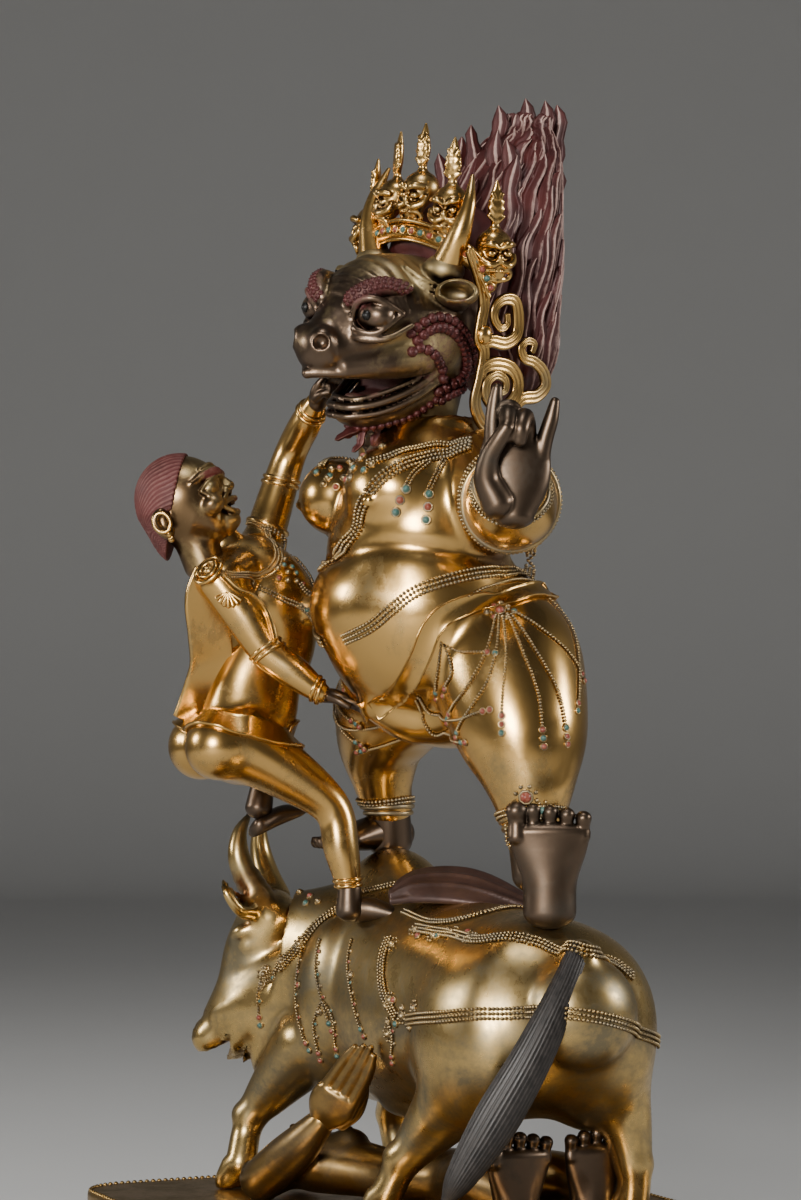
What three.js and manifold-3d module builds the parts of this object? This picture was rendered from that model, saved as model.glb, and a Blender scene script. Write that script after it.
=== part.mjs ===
// A wrathful bull-headed guardian and his consort, who stand on a buffalo over a lying figure.
// Gilded bronze on a low petalled plinth. Millimetres, +Z up, the guardian faces -Y.
import * as THREE from 'three';
import Module from 'manifold-3d';
import { mergeVertices } from 'three/addons/utils/BufferGeometryUtils.js';

const wasm = await Module();
wasm.setup();

// Driving dimensions
const PLINTH = { halfLength: 175, halfWidth: 146, height: 52, corner: 29, petals: 18 };
const GAP = 0.4; // clear space kept between touching pieces
const STRAP = 1.4; // how far a strap stands proud of the body under it
const VIEW_TURN = THREE.MathUtils.degToRad(65); // the raised palm and the sole face this way round
const OUT = [Math.sin(VIEW_TURN), -Math.cos(VIEW_TURN), 0];
const ALONG = [Math.cos(VIEW_TURN), Math.sin(VIEW_TURN), 0];
const UP = [0, 0, 1];

const vec = (p) => new THREE.Vector3(p[0], p[1], p[2]);

// A closed geometry as a solid that can be joined and cut.
function solidOf(geometry) {
  const bare = geometry.index ? geometry.toNonIndexed() : geometry.clone();
  bare.deleteAttribute('normal');
  bare.deleteAttribute('uv');
  const merged = mergeVertices(bare, 1e-4);
  return new wasm.Manifold(new wasm.Mesh({
    numProp: 3,
    vertProperties: merged.attributes.position.array,
    triVerts: new Uint32Array(merged.index.array),
  }));
}

// A closed skin from rings of equal length, with a pole point at each end.
function skin(rings, startPole, endPole) {
  const sides = rings[0].length;
  const points = [startPole, ...rings.flat(), endPole];
  const last = points.length - 1;
  const index = [];
  for (let k = 0; k < sides; k++) {
    const next = (k + 1) % sides;
    index.push(0, 1 + next, 1 + k);
    for (let j = 0; j < rings.length - 1; j++) {
      const a = 1 + j * sides;
      const b = a + sides;
      index.push(a + k, a + next, b + k, b + k, a + next, b + next);
    }
    const top = 1 + (rings.length - 1) * sides;
    index.push(last, top + k, top + next);
  }
  return new wasm.Manifold(new wasm.Mesh({
    numProp: 3,
    vertProperties: new Float32Array(points.flatMap((p) => [p.x, p.y, p.z])),
    triVerts: new Uint32Array(index),
  }));
}

// A limb: an oval section carried along a smooth curve through stations, closed by a point at each end.
// A station is [x, y, z, half width, half height], and up is the way the half height points.
function limb(stations, { sides = 6, steps = 1, up = UP, grow = 0, round = 0.8, capped = false } = {}) {
  const centre = new THREE.CatmullRomCurve3(stations.map(vec), false, 'centripetal');
  const sizes = stations.map(([, , , w, h]) => new THREE.Vector3(w + grow, (h ?? w) + grow, 0));
  const size = new THREE.CatmullRomCurve3(sizes, false, 'catmullrom', 0.5);
  const upward = vec(up);
  const swell = 0.5 + 0.5 / Math.cos(Math.PI / sides); // flat sides keep the round limb's mean size
  const ring = (t, along, share) => {
    const middle = centre.getPoint(t);
    const forward = centre.getTangent(t);
    const side = new THREE.Vector3().crossVectors(upward, forward).normalize();
    const top = new THREE.Vector3().crossVectors(forward, side);
    const s = size.getPoint(t);
    middle.addScaledVector(forward, along * Math.min(s.x, s.y));
    const points = Array.from({ length: sides }, (_, k) => {
      const a = (2 * Math.PI * (k + 0.5)) / sides;
      return middle.clone()
        .addScaledVector(side, swell * share * s.x * Math.cos(a))
        .addScaledVector(top, swell * share * s.y * Math.sin(a));
    });
    return { middle, points };
  };
  const count = (stations.length - 1) * steps;
  const body = Array.from({ length: count + 1 }, (_, j) => ring(j / count, 0, 1).points);
  const start = capped ? [ring(0, -0.7 * round, 0.7).points] : [];
  const end = capped ? [ring(1, 0.7 * round, 0.7).points] : [];
  return skin([...start, ...body, ...end], ring(0, -round, 0).middle, ring(1, round, 0).middle);
}

// An oval ball with half sizes r, turned by Euler angles in radians if given.
function ball(centre, r, { sides = 6, rows = 4, turn = [0, 0, 0] } = {}) {
  const g = new THREE.SphereGeometry(1, sides, rows);
  g.scale(r[0], r[1] ?? r[0], r[2] ?? r[0]);
  g.applyMatrix4(new THREE.Matrix4().makeRotationFromEuler(new THREE.Euler(...turn)));
  g.translate(...centre);
  return solidOf(g);
}

// A round ring of a plain bangle or anklet about an axis.
function bangle(centre, axis, radius, thick, { sides = 10, rows = 3 } = {}) {
  const g = new THREE.TorusGeometry(radius, thick, rows, sides);
  const turn = new THREE.Quaternion().setFromUnitVectors(vec(UP), vec(axis).normalize());
  g.applyQuaternion(turn);
  g.translate(...centre);
  return solidOf(g);
}

// A flat slab whose middle plane passes through a point, square to an axis.
function slab(point, axis, thick, reach = 400) {
  const g = new THREE.BoxGeometry(reach, reach, thick);
  g.applyQuaternion(new THREE.Quaternion().setFromUnitVectors(vec(UP), vec(axis).normalize()));
  g.translate(...point);
  return solidOf(g);
}

// A half space as a big block on the side of a point that an axis shows.
function beyond(point, axis, reach = 400) {
  const n = vec(axis).normalize();
  return slab(vec(point).addScaledVector(n, reach / 2).toArray(), axis, reach, reach);
}

const join = (...solids) => solids.flat().reduce((a, b) => a.add(b));
const inFrame = (s, origin, x, y, z) => s.transform([...x, 0, ...y, 0, ...z, 0, ...origin, 1]);

// Both sides of a thing that is mirrored in the plane x = middle.
const bothSides = (make) => [1, -1].map((side) => make(side));

// A head's own frame: it looks along -Y, its left is +X; nod, turn and lean in degrees.
function headFrame(origin, turnDeg, leanDeg, nodDeg) {
  const rad = THREE.MathUtils.degToRad;
  return new THREE.Matrix4().makeTranslation(...origin)
    .multiply(new THREE.Matrix4().makeRotationZ(rad(turnDeg)))
    .multiply(new THREE.Matrix4().makeRotationY(rad(leanDeg)))
    .multiply(new THREE.Matrix4().makeRotationX(rad(nodDeg)));
}
const placed = (s, matrix) => s.transform(matrix.elements);

// Plinth: a rounded block on a plain foot, a ring of upright petals and a rim.
function roundedPlan(inset) {
  const a = PLINTH.halfLength - inset;
  const b = PLINTH.halfWidth - inset;
  const c = PLINTH.corner - inset / 2;
  const s = new THREE.Shape();
  s.moveTo(a, -b + c);
  s.lineTo(a, b - c);
  s.absarc(a - c, b - c, c, 0, Math.PI / 2, false);
  s.lineTo(-a + c, b);
  s.absarc(-a + c, b - c, c, Math.PI / 2, Math.PI, false);
  s.lineTo(-a, -b + c);
  s.absarc(-a + c, -b + c, c, Math.PI, 1.5 * Math.PI, false);
  s.lineTo(a - c, -b);
  s.absarc(a - c, -b + c, c, 1.5 * Math.PI, 2 * Math.PI, false);
  return s;
}
function plinth() {
  const layer = (inset, low, high) => {
    const g = new THREE.ExtrudeGeometry(roundedPlan(inset),
      { depth: high - low, bevelEnabled: false, curveSegments: 2 });
    g.translate(0, 0, low);
    return solidOf(g);
  };
  const footHigh = 9;
  const rimLow = 43;
  const outline = roundedPlan(8).getSpacedPoints(PLINTH.petals * 2);
  const petals = Array.from({ length: PLINTH.petals }, (_, k) => {
    const here = outline[2 * k];
    const next = outline[(2 * k + 1) % outline.length];
    const turn = Math.atan2(next.y - here.y, next.x - here.x);
    return limb([[here.x, here.y, 11, 8, 3], [here.x, here.y, 24, 13, 5], [here.x, here.y, 35, 7, 4]],
      { sides: 4, up: [Math.sin(turn), -Math.cos(turn), 0], round: 1.6 });
  });
  return join(layer(0, 0, footHigh), layer(9, footHigh - 1, rimLow), petals,
    layer(2.5, rimLow - 1, PLINTH.height));
}

// A foot in its own frame: sole down, toes towards -Y, big toe on the side given.
function foot(side, length, breadth, toeCount = 5) {
  const sole = limb([
    [0, 0.34 * length, 0.17 * length, 0.66 * breadth, 0.17 * length],
    [0, 0.02 * length, 0.16 * length, 0.7 * breadth, 0.16 * length],
    [0, -0.33 * length, 0.1 * length, 0.94 * breadth, 0.1 * length],
  ], { sides: 6 });
  if (toeCount === 1) {
    return sole.add(limb([[0, -0.3 * length, 0.1 * length, 0.9 * breadth, 0.09 * length],
      [0, -0.52 * length, 0.09 * length, 0.85 * breadth, 0.08 * length]], { sides: 4, round: 0.3 }));
  }
  const toes = Array.from({ length: toeCount }, (_, k) => {
    const x = side * breadth * (-0.76 + 0.38 * k);
    const r = (k === 0 ? 0.24 : 0.2) * breadth;
    return limb([[x, -0.3 * length, 0.1 * length, r], [x, (-0.5 + 0.012 * k) * length, 0.09 * length, r]],
      { sides: 4, round: 0.4 });
  });
  return join(sole, toes);
}

// A hand in its own frame: fingers along +Z, thumb towards +X, palm facing +Y.
// Each finger is a list of [x, y, z, r] points; the wrist is at the origin.
function hand(fingers, palm = [17, 6.5, 15]) {
  const mound = limb([[0, 0, 0.15 * palm[2], palm[0] * 0.62, palm[1]],
    [0, 0, palm[2] * 0.8, palm[0], palm[1]],
    [0, 0, palm[2] * 1.45, palm[0] * 0.9, palm[1] * 0.8]], { sides: 6, up: [0, 1, 0] });
  return join(mound, fingers.map((f) => limb(f, { sides: 4, up: [0, 1, 0.01], round: 0.4 })));
}

// The buffalo: stations run from the rump to the neck, with half widths across and half heights up.
const BUFFALO_TRUNK = [
  [120, 32, 172, 33, 32], [98, 33, 167, 53, 48], [64, 31, 164, 60, 55], [20, 25, 161, 57, 58],
  [-30, 19, 163, 54, 62], [-72, 12, 168, 49, 66], [-102, -4, 170, 39, 54],
];
const BUFFALO_BACK = [
  [-104, 4, 214, 14, 16], [-76, 16, 227, 22, 23], [-46, 20, 213, 23, 22], [0, 24, 200, 24, 24],
    [44, 28, 194, 24, 24],
];
const BUFFALO_NECK = [[-84, 2, 176, 38, 52], [-108, -20, 172, 28, 52], [-122, -36, 164, 17, 50],
  [-127, -42, 176, 12, 34]];
const BUFFALO_FACE = [
  [-134, -36, 208, 17, 19], [-140, -44, 189, 18, 19], [-144, -50, 166, 14, 17], [-152, -59, 146, 13, 16],
  [-157, -65, 132, 12, 13],
];
const BUFFALO_JAW = [[-132, -34, 172, 12, 10], [-137, -40, 146, 9, 8], [-141, -47, 127, 8, 6]];
const BUFFALO_LEGS = [
  [[90, 66, 138, 24], [96, 73, 106, 14], [99, 76, 78, 9.5], [96, 76, 62, 10]],
  [[70, -2, 136, 27], [46, -17, 106, 17], [34, -30, 82, 10], [27, -38, 62, 10]],
  [[-94, -28, 136, 22], [-116, -44, 108, 14], [-124, -54, 88, 9.5], [-116, -63, 62, 9.5]],
  [[-96, 30, 135, 20], [-116, 36, 104, 12], [-124, 38, 84, 9], [-118, 40, 62, 9.5]],
];
const BUFFALO_HORN = [[-131, -44, 222, 8], [-133, -54, 236, 7.4], [-135, -57, 252, 5.4],
  [-135, -49, 270, 1.4]];
const BUFFALO_EAR = [[-132, -43, 204, 5, 4], [-126, -50, 210, 3.5, 3], [-122, -62, 217, 7, 3.5],
  [-121, -70, 226, 5, 2], [-121, -74, 231, 1, 1]];
const POLL = [-142, -34.5, 208]; // the middle of the head between the horns
const FACE_ACROSS = [-0.76, 0.65, 0]; // from the near horn towards the far one
const FACE_AHEAD = [-0.65, -0.76, 0];

function buffaloSkin(grow = 0) {
  return join(
    limb(BUFFALO_TRUNK, { sides: 10, grow }),
    limb(BUFFALO_BACK, { sides: 6, grow }),
    limb(BUFFALO_NECK, { sides: 8, grow }),
  );
}
function hoof([x, y]) {
  const shape = new THREE.CylinderGeometry(9, 12.5, 14, 6);
  shape.rotateX(Math.PI / 2);
  shape.translate(x, y - 2, PLINTH.height + GAP + 7);
  return solidOf(shape);
}
function buffalo() {
  const proud = buffaloSkin(STRAP);
  const straps = proud.intersect(slab([30, 0, 160], [1, 0.1, 0.1], 6));
  const far = ([x, y, ...rest]) => {
    const across = 2 * ((x - POLL[0]) * FACE_ACROSS[0] + (y - POLL[1]) * FACE_ACROSS[1]);
    return [x - across * FACE_ACROSS[0], y - across * FACE_ACROSS[1], ...rest];
  };
  const pair = (stations, up) => [stations, stations.map(far)].map((p) => limb(p, { sides: 5, up }));
  return join(buffaloSkin(), straps, limb(BUFFALO_FACE, { up: FACE_AHEAD }), ball(POLL, [19, 19, 17]),
    limb(BUFFALO_JAW, { sides: 5, up: FACE_AHEAD }),
    BUFFALO_LEGS.map((p) => limb(p, { sides: 6, up: [1, 0, 0] })), BUFFALO_LEGS.map((p) => hoof(p[3])),
    pair(BUFFALO_HORN, FACE_ACROSS), pair(BUFFALO_EAR, FACE_AHEAD))
    .subtract(beyond([0, 0, PLINTH.height + GAP], [0, 0, -1]));
}

// A switch of combed hair, thick in the middle, that hangs from the rump across the left haunch.
const TAIL = [[127, 29, 203, 7, 5], [134, 14, 180, 9, 6], [134, -4, 148, 11, 7], [128, -22, 116, 12.5, 7],
  [121, -38, 88, 8, 5], [118, -45, 76, 3, 2.5]];
const buffaloTail = () => limb(TAIL, { sides: 8, up: OUT });

// The folded hide that lies over the buffalo's back.
const HIDE = [[-24, -10, 222, 5, 2.5], [-18, 4, 232, 14, 3.4], [4, 24, 232, 19, 3.8], [26, 46, 222, 13, 3],
  [34, 60, 213, 5, 2]];
const saddleHide = () => limb(HIDE, { sides: 8 });

// The lying figure, feet towards the buffalo's rump
const FALLEN_TORSO = [[-82, -38, 71, 22, 16], [-66, -30, 72, 24, 18], [-30, -6, 68, 17, 14],
  [2, 14, 70, 24, 17],
  [22, 26, 68, 20, 15]];
const FALLEN_LEGS = [[[12, 12, 70, 17, 16], [52, 8, 74, 14, 15], [82, 13, 70, 11, 12]],
  [[12, 36, 70, 17, 16], [52, 56, 74, 14, 15], [82, 59, 70, 11, 12]]];
const FALLEN_RIGHT_ARM = [[-80, -46, 70, 13], [-76, -65, 64, 12.5], [-59, -60, 76, 13], [-44, -54, 88, 12],
  [-33, -47, 101, 8]];
const FALLEN_LEFT_ARM = [[-66, -14, 74, 11], [-40, 18, 65, 10], [-4, 44, 62, 7]];
const FALLEN_FEET = [13, 59];
const FALLEN_HEAD = [-101, -32, 70];
const FALLEN_HAND = { origin: [-33, -47, 101], up: [0.61, 0.19, 0.77], palm: [-0.8, 0.6, 0] };
const LONG_FINGERS = [0, 1, 2, 3].map((k) => [[10 - 5 * k, 0, 18, 3.4], [9 - 4.6 * k, 1, 32, 3],
  [6 - 3.6 * k, 1, 52 - Math.abs(k - 1.2) * 3, 2.2]]);
const LONG_THUMB = [[11, 2, 8, 4], [14, 3, 18, 3.4], [12, 3, 27, 2.6]];

function fallenFigure() {
  const breasts = [[-72, -44, 84], [-58, -20, 84]].map((c) => ball(c, [11, 11, 9], { rows: 3 }));
  const head = ball(FALLEN_HEAD, [17, 16, 17], { sides: 7, rows: 5 });
  const neck = limb([[-96, -34, 70, 10], [-84, -36, 71, 12]], { sides: 6 });
  const feet = FALLEN_FEET.map((y, k) => inFrame(foot(k === 0 ? -1 : 1, 52, 17.5),
    [94, y, 73], [0, 1, 0], [0, 0, -1], [-1, 0, 0]));
  const leftHand = ball([6, 46, 62], [12, 8, 5], { rows: 3 });
  return join(limb(FALLEN_TORSO, { sides: 7 }), breasts, head, neck,
    FALLEN_LEGS.map((p) => limb(p, { sides: 6 })), feet, limb(FALLEN_RIGHT_ARM, { sides: 6, up: [1, 0,
      0] }),
    limb(FALLEN_LEFT_ARM, { sides: 6 }), handAt(FALLEN_HAND, [...LONG_FINGERS, LONG_THUMB],
      [14, 5.5, 14]), leftHand)
    .subtract(beyond([0, 0, PLINTH.height + GAP], [0, 0, -1]));
}

// The guardian's body: the trunk's stations run up, half widths across and half depths front to back.
const YAMA_TRUNK = [
  [8, 18, 334, 38, 34], [6, 12, 352, 55, 52], [4, -2, 384, 62, 60], [5, -7, 416, 56, 50],
  [6, -4, 448, 55, 44], [6, 0, 470, 40, 33], [6, 4, 484, 27, 25],
];
const YAMA_BREASTS = [{ centre: [22, -27, 448], size: [31, 30, 28] }, { centre: [-29, -38, 448],
  size: [23, 24, 23] }];
const YAMA_LEFT_LEG = [[32, 30, 368, 39], [50, 26, 348, 42], [71, 25, 312, 35], [82, 24, 286, 26],
  [86, 23, 272, 21],
  [87, 23, 269, 23], [89, 22, 263, 21.5], [90, 22, 258, 17]];
const YAMA_RIGHT_LEG = [[-20, 18, 352, 40], [-50, 8, 336, 37], [-74, 8, 312, 27], [-84, 13, 288, 18],
  [-86, 15, 282, 19.5], [-87, 17, 275, 19], [-88, 18, 270, 15]];
const YAMA_LEFT_ARM = [[44, 16, 454, 28], [71, 15, 441, 28], [92, 6, 438, 23], [100, 3, 439, 24],
  [106, 0, 440, 23],
  [112, -4, 442, 19]];
const YAMA_RIGHT_ARM = [[-34, 12, 452, 26], [-66, 20, 450, 24], [-92, 26, 462, 20], [-100, 23, 478, 17.5],
  [-101, 22, 484, 19], [-104, 20, 500, 13]];
const WRIST_LEFT = [117, -4, 440];
const WRIST_RIGHT = [-104, 20, 502];
const ANKLE_LEFT = [92, 22, 260];
const ANKLE_RIGHT = [-88, 18, 270];
const NECK_CUT = [6, 4, 484];

function yamaBody() {
  const trunk = limb(YAMA_TRUNK, { sides: 10, up: [0, 1, 0] });
  const proud = limb(YAMA_TRUNK, { sides: 10, up: [0, 1, 0], grow: STRAP });
  const breasts = YAMA_BREASTS.map(({ centre, size }) => ball(centre, size, { sides: 7, rows: 5 }));
  const legs = [YAMA_LEFT_LEG, YAMA_RIGHT_LEG].map((p) => limb(p, { sides: 8, up: [0, 1, 0] }));
  const arms = [YAMA_LEFT_ARM, YAMA_RIGHT_ARM].map((p) => limb(p, { sides: 7 }));
  const loin = limb([[0, -34, 330, 12, 10], [4, -6, 318, 16, 12], [8, 26, 330, 14, 12]], { sides: 5 });
  const straps = [
    proud.intersect(slab([0, 0, 392], [0.1, -0.32, 1], 5)),
    proud.intersect(slab([4, 0, 352], [-0.42, -0.62, 1], 13)),
  ];
  const trims = [
    bangle([6, -4, 476], [0, -0.25, 1], 34, 4), ball([94, 12, 285], [5, 10, 10], { rows: 3 }),
  ];
  return join(join(trunk, breasts, straps, trims).subtract(beyond(NECK_CUT, UP)), legs, arms, loin)
    .subtract(beyond(ANKLE_LEFT, [-0.1, 0, -1]).intersect(beyond([50, 0, 0], [1, 0, 0])))
    .subtract(beyond(ANKLE_RIGHT, [0, 0, -1]).intersect(beyond([-60, 0, 0], [-1, 0, 0])))
    .subtract(beyond(WRIST_LEFT, [0.8, -0.3, 0.5]).intersect(beyond([104, 0, 0], [1, 0, 0])))
    .subtract(beyond(WRIST_RIGHT, [-0.1, -0.1, 1]).intersect(beyond([-60, 0, 490], UP)));
}

// The raised hand: forefinger and little finger up, the others bent down to the thumb.
const THREAT_FINGERS = [
  [[11, 0, 36, 4.8], [10, 1, 48, 4.4], [9, 3, 62, 3]],
  [[3, 0, 36, 4.8], [3, 7, 46, 4.6], [4, 15, 37, 4.2]],
  [[-5, 0, 35, 4.8], [-5, 7, 44, 4.6], [-1, 15, 35, 4.2]],
  [[-14, 0, 30, 4.5], [-17, 1, 42, 4.1], [-20, 2, 55, 2.9]],
  [[16, 4, 12, 6.5], [20, 10, 24, 5.4], [10, 16, 36, 4.4]],
];
const FIST = [...[0, 1, 2, 3].map((k) => [[10 - 7.5 * k, 1, 22, 4.8], [9 - 7 * k, 11, 25, 4.8]]),
  [[13, 3, 8, 6], [9, 15, 18, 4.6]]];
const YAMA_LEFT_HAND = { origin: [123, -7, 430], up: UP, palm: OUT };
const YAMA_RIGHT_HAND = { origin: [-104, 20, 503], up: UP, palm: [1, 0, 0] };

// A foot keeps clear of the leg and of the buffalo that it stands on.
function yamaLeftFoot() {
  const inward = OUT.map((c) => -c);
  return inFrame(foot(1, 60, 19), [104, 24, 242.5], ALONG, [0, 0, -1], inward)
    .add(limb([[92, 22, 257, 14, 14], [97, 22, 238, 14, 13]], { up: [0, 1, 0] }));
}
function yamaRightFoot() {
  return inFrame(foot(-1, 58, 18, 1), [-90, 6, 247], [0.99, 0.1, 0], [-0.1, 0.99, 0], UP)
    .add(limb([[-89, 20, 252, 12, 13], [-88, 18, 267, 13, 13]], { up: [0, 1, 0], round: 0.2 }));
}

// The bull's head, in its own frame
const YAMA_HEAD = headFrame([5, -18, 538], 18, 11, 6);
const YAMA_SKULL = [[0, 28, 0, 32, 33], [0, 6, 4, 39, 39], [0, -20, 8, 36, 34], [0, -40, -2, 26, 20],
  [0, -55, -9, 20, 14]];
const YAMA_JAW = [[0, 16, -24, 30, 18], [0, -8, -38, 27, 13], [0, -28, -44, 19, 8], [0, -38, -43, 13, 6]];
const YAMA_MOUTH = [[0, 2, -18, 26, 3], [0, -20, -27, 23, 7], [0, -44, -31, 20, 8], [0, -60, -32, 20, 8]];
const HORN = [[29, 6, 40, 10], [37, 7, 56, 8], [38, 11, 72, 5.4], [33, 17, 87, 1.4]];

// A curled fringe runs round each jaw.
const FRINGE = Array.from({ length: 8 }, (_, k) => {
  const a = 0.7 + k * 0.7;
  return [35 - 0.6 * Math.abs(k - 3), 9 - 18 * Math.cos(a), -10 + 18 * Math.sin(a), 5 + (k % 2), 4];
});
function yamaHead() {
  const jaw = limb(YAMA_JAW);
  const mouth = limb(YAMA_MOUTH, { sides: 6 });
  const neck = limb([[0, 14, -70, 27, 26], [0, 10, -34, 30, 27]], { up: [0, 1, 0] });
  const brows = bothSides((s) => limb([[s * 9, -50, 17, 4, 4], [s * 22, -41, 26, 5, 6],
    [s * 34, -24, 26, 4, 4]],
    { sides: 5 }));
  const eyes = bothSides((s) => ball([s * 25, -42, 11], [9, 9, 8], { sides: 5 }));
  const nostrils = bothSides((s) => ball([s * 8, -61, -4], [8, 7, 8], { sides: 5, rows: 3 }));
  const ears = bothSides((s) => limb([[s * 37, 6, 20, 6, 4], [s * 45, 0, 24, 10, 5],
    [s * 52, -6, 27, 8, 3]],
    { sides: 6, up: [0, 1, 0] }));
  const fringes = bothSides((s) => limb(FRINGE.map(([x, ...rest]) => [s * x, ...rest]),
    { sides: 4, up: [s, 0, 0] }));
  const beard = [-5, 5].map((x) => limb([[x, -26, -46, 5, 5], [x * 1.4, -30, -58, 1, 1]], { sides: 4 }));
  return placed(join(limb(YAMA_SKULL, { sides: 10 }).add(jaw).subtract(mouth), neck, brows, eyes,
    nostrils, ears,
    fringes, beard), YAMA_HEAD).subtract(beyond([NECK_CUT[0], NECK_CUT[1], NECK_CUT[2] + GAP], [0, 0, -1]));
}
const yamaHorn = (side) => placed(limb(HORN.map(([x, y, z, r]) => [side * x, y, z, r, r]),
  { sides: 7, steps: 2, up: [0, 1, 0] }), YAMA_HEAD);

// The flame of hair: pointed locks in rows over a thick mass that rises behind the head.
const HAIR_FRAME = headFrame([5, -18, 538], 18, 6, 0);
const HAIR = [[0, 90, -26, 24, 13], [0, 76, -8, 40, 30], [0, 68, 22, 45, 38], [0, 67, 60, 46, 36],
  [0, 72, 92, 42, 29],
  [0, 76, 112, 32, 19]];
function yamaHair() {
  const locks = [];
  for (let row = 0; row < 3; row++) {
    for (let k = 0; k < 5; k++) {
      const a = (k - 2 + 0.4 * (row % 2)) * 0.66;
      const out = 0.62 + 0.2 * row;
      const rise = 143 - 27 * row - 6 * Math.abs(k - 2);
      const x = 46 * out * Math.sin(a);
      const y = 74 - 5 * row + 30 * out * Math.cos(a) * (row === 0 ? 0.55 : 1);
      locks.push(limb([[x * 0.96, y - 4, rise - 40, 10, 6],
        [x, y + 4, rise, 2, 2]], { sides: 4, up: [0, 1, 0] }));
    }
  }
  const mass = limb(HAIR, { sides: 9, up: [0, 1, 0], round: 0.6 });
  return placed(join(mass, locks), HAIR_FRAME);
}

// A crown of five skulls, each with a leaf above it, on a curved band.
const SKULLS = [[-46, 19, 54, -1], [-24, 12, 75, -0.4], [0, 10, 80, 0], [24, 12, 75, 0.4], [46, 19, 54, 1]];
function yamaCrown() {
  const band = limb([[-44, 20, 36, 3, 6], [-26, 13, 50, 3, 7], [0, 12, 56, 3, 7], [26, 13, 50, 3, 7],
    [44, 20, 36, 3, 6]],
    { sides: 4, round: 0.5 });
  const skulls = SKULLS.map(([x, y, z, a], k) => {
    const r = k === 2 ? 10 : 9;
    return limb([[x + 3 * Math.sin(a), y - 3 * Math.cos(a), z - 2.3 * r, 0.4 * r, 0.5 * r],
      [x + 2 * Math.sin(a), y - 2 * Math.cos(a), z - 0.9 * r, 0.6 * r, 0.7 * r],
        [x, y, z - 0.1 * r, 0.9 * r, r],
      [x, y, z + 0.9 * r, 0.4 * r, 0.4 * r], [x, y + 1, z + 1.5 * r, 0.5 * r, 0.3 * r]],
    { sides: 5, up: [0, 1, 0], round: 3 });
  });
  return placed(join(band, skulls), YAMA_HEAD);
}

// A ribbon that falls from the crown past the ear, with two curls and a waving end beside it.
function yamaRibbon(side) {
  const on = (stations) => stations.map(([x, ...rest]) => [side * x, ...rest]);
  const strip = limb(on([[46, 20, 34, 2, 4], [47, 20, 2, 2.4, 5], [47, 20, -22, 2, 4.5],
    [45, 27, -52, 2, 4]]),
    { sides: 4, up: [0, 1, 0] });
  const curl = (y, z, r) => limb(on(Array.from({ length: 6 }, (_, k) => {
    const a = Math.PI - (k * Math.PI) / 3;
    return [46, y + r * Math.cos(a), z + r * Math.sin(a), 4, 3];
  })), { sides: 4, up: [1, 0, 0] });
  const tail = limb(on([[46, 42, -34, 3, 3], [46, 54, -38, 4, 4], [46, 62, -26, 4, 4], [46, 56, -12, 3, 3],
    [46, 60, -3, 1.5, 1.5]]), { sides: 4, up: [1, 0, 0] });
  return placed(join(strip, curl(31, 10, 8), curl(33, -26, 9), tail), YAMA_HEAD);
}

// The consort: slighter, pressed against the guardian's side.
const CONSORT_TRUNK = [
  [-72, -84, 306, 25, 26], [-72, -76, 326, 24, 28], [-72, -71, 346, 22, 27], [-71, -62, 369, 23, 26],
  [-70, -66, 391, 26, 29], [-72, -74, 408, 22, 22], [-74, -86, 418, 12, 12],
];
const CONSORT_RIGHT_LEG = [[-60, -88, 310, 22], [-54, -66, 297, 17.5], [-46, -36, 273, 10.5],
  [-42, -32, 246, 9.8],
  [-40, -28, 229, 7], [-40, -28, 226, 9], [-40, -27, 222, 8]];
const CONSORT_LEFT_LEG = [[-86, -88, 312, 20], [-104, -66, 318, 15], [-116, -46, 310, 11],
  [-111, -52, 282, 7]];
const CONSORT_RIGHT_ARM = [[-48, -104, 400, 13], [-40, -91, 379, 11.6], [-35, -80, 361, 10],
  [-33, -77, 358, 11.5],
  [-27, -66, 348, 9.2], [-20, -54, 337, 6.2]];
const CONSORT_LEFT_ARM = [[-88, -62, 422, 12.5], [-92, -53, 446, 11], [-92, -51, 450, 12.6],
  [-87, -43, 478, 9.6],
  [-72, -41, 494, 9.4], [-60, -40, 504, 6.6]];
const CONSORT_NECK = { point: [-75, -94, 420], axis: [0, -0.7, 0.7] };
const CONSORT_THROAT = [[-75, -110, 436, 12], [-74, -90, 416, 12]];
const CONSORT_HEAD = headFrame([-76, -111, 443], 152, 0, -24);

function consortBody() {
  const breasts = [[-56, -50, 384], [-80, -46, 392]].map((c) => ball(c, [12, 12, 12]));
  const limbs = [CONSORT_RIGHT_LEG, CONSORT_LEFT_LEG, CONSORT_RIGHT_ARM, CONSORT_LEFT_ARM]
    .map((p) => limb(p, { sides: 5, up: [1, 0.1, 0] }));
  const seat = [[-58, -100, 308], [-84, -100, 308]].map((c) => ball(c, [19, 19, 19]));
  const shoulders = limb([[-50, -100, 402, 14, 13], [-70, -84, 409, 17, 14],
    [-88, -64, 421, 13, 13]], { sides: 7 });
  const brooch = ball([-42, -113, 403], [5, 8, 8], { rows: 3 });
  return join(limb(CONSORT_TRUNK, { sides: 8, up: [0, 1, 0] }), breasts, limbs, seat, shoulders, brooch)
    .subtract(beyond(CONSORT_NECK.point, CONSORT_NECK.axis).intersect(ball([-76, -106, 432], [22, 24, 22])))
    .subtract(beyond([-40, -27, 222], [0, 0, -1]).intersect(beyond([0, 0, 250], [0, 0, -1])))
    .subtract(beyond([-111, -52, 283], [0, 0, -1]).intersect(beyond([-98, 0, 0], [-1, 0, 0])))
    .subtract(beyond([-20, -54, 337], [0.4, 0.8, -0.3]).intersect(beyond([-30, 0, 0], [1, 0, 0])))
    .subtract(beyond([-60, -40, 504], [0.75, 0.1, 0.65]).intersect(beyond([0, 0, 480], UP)));
}
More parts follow.
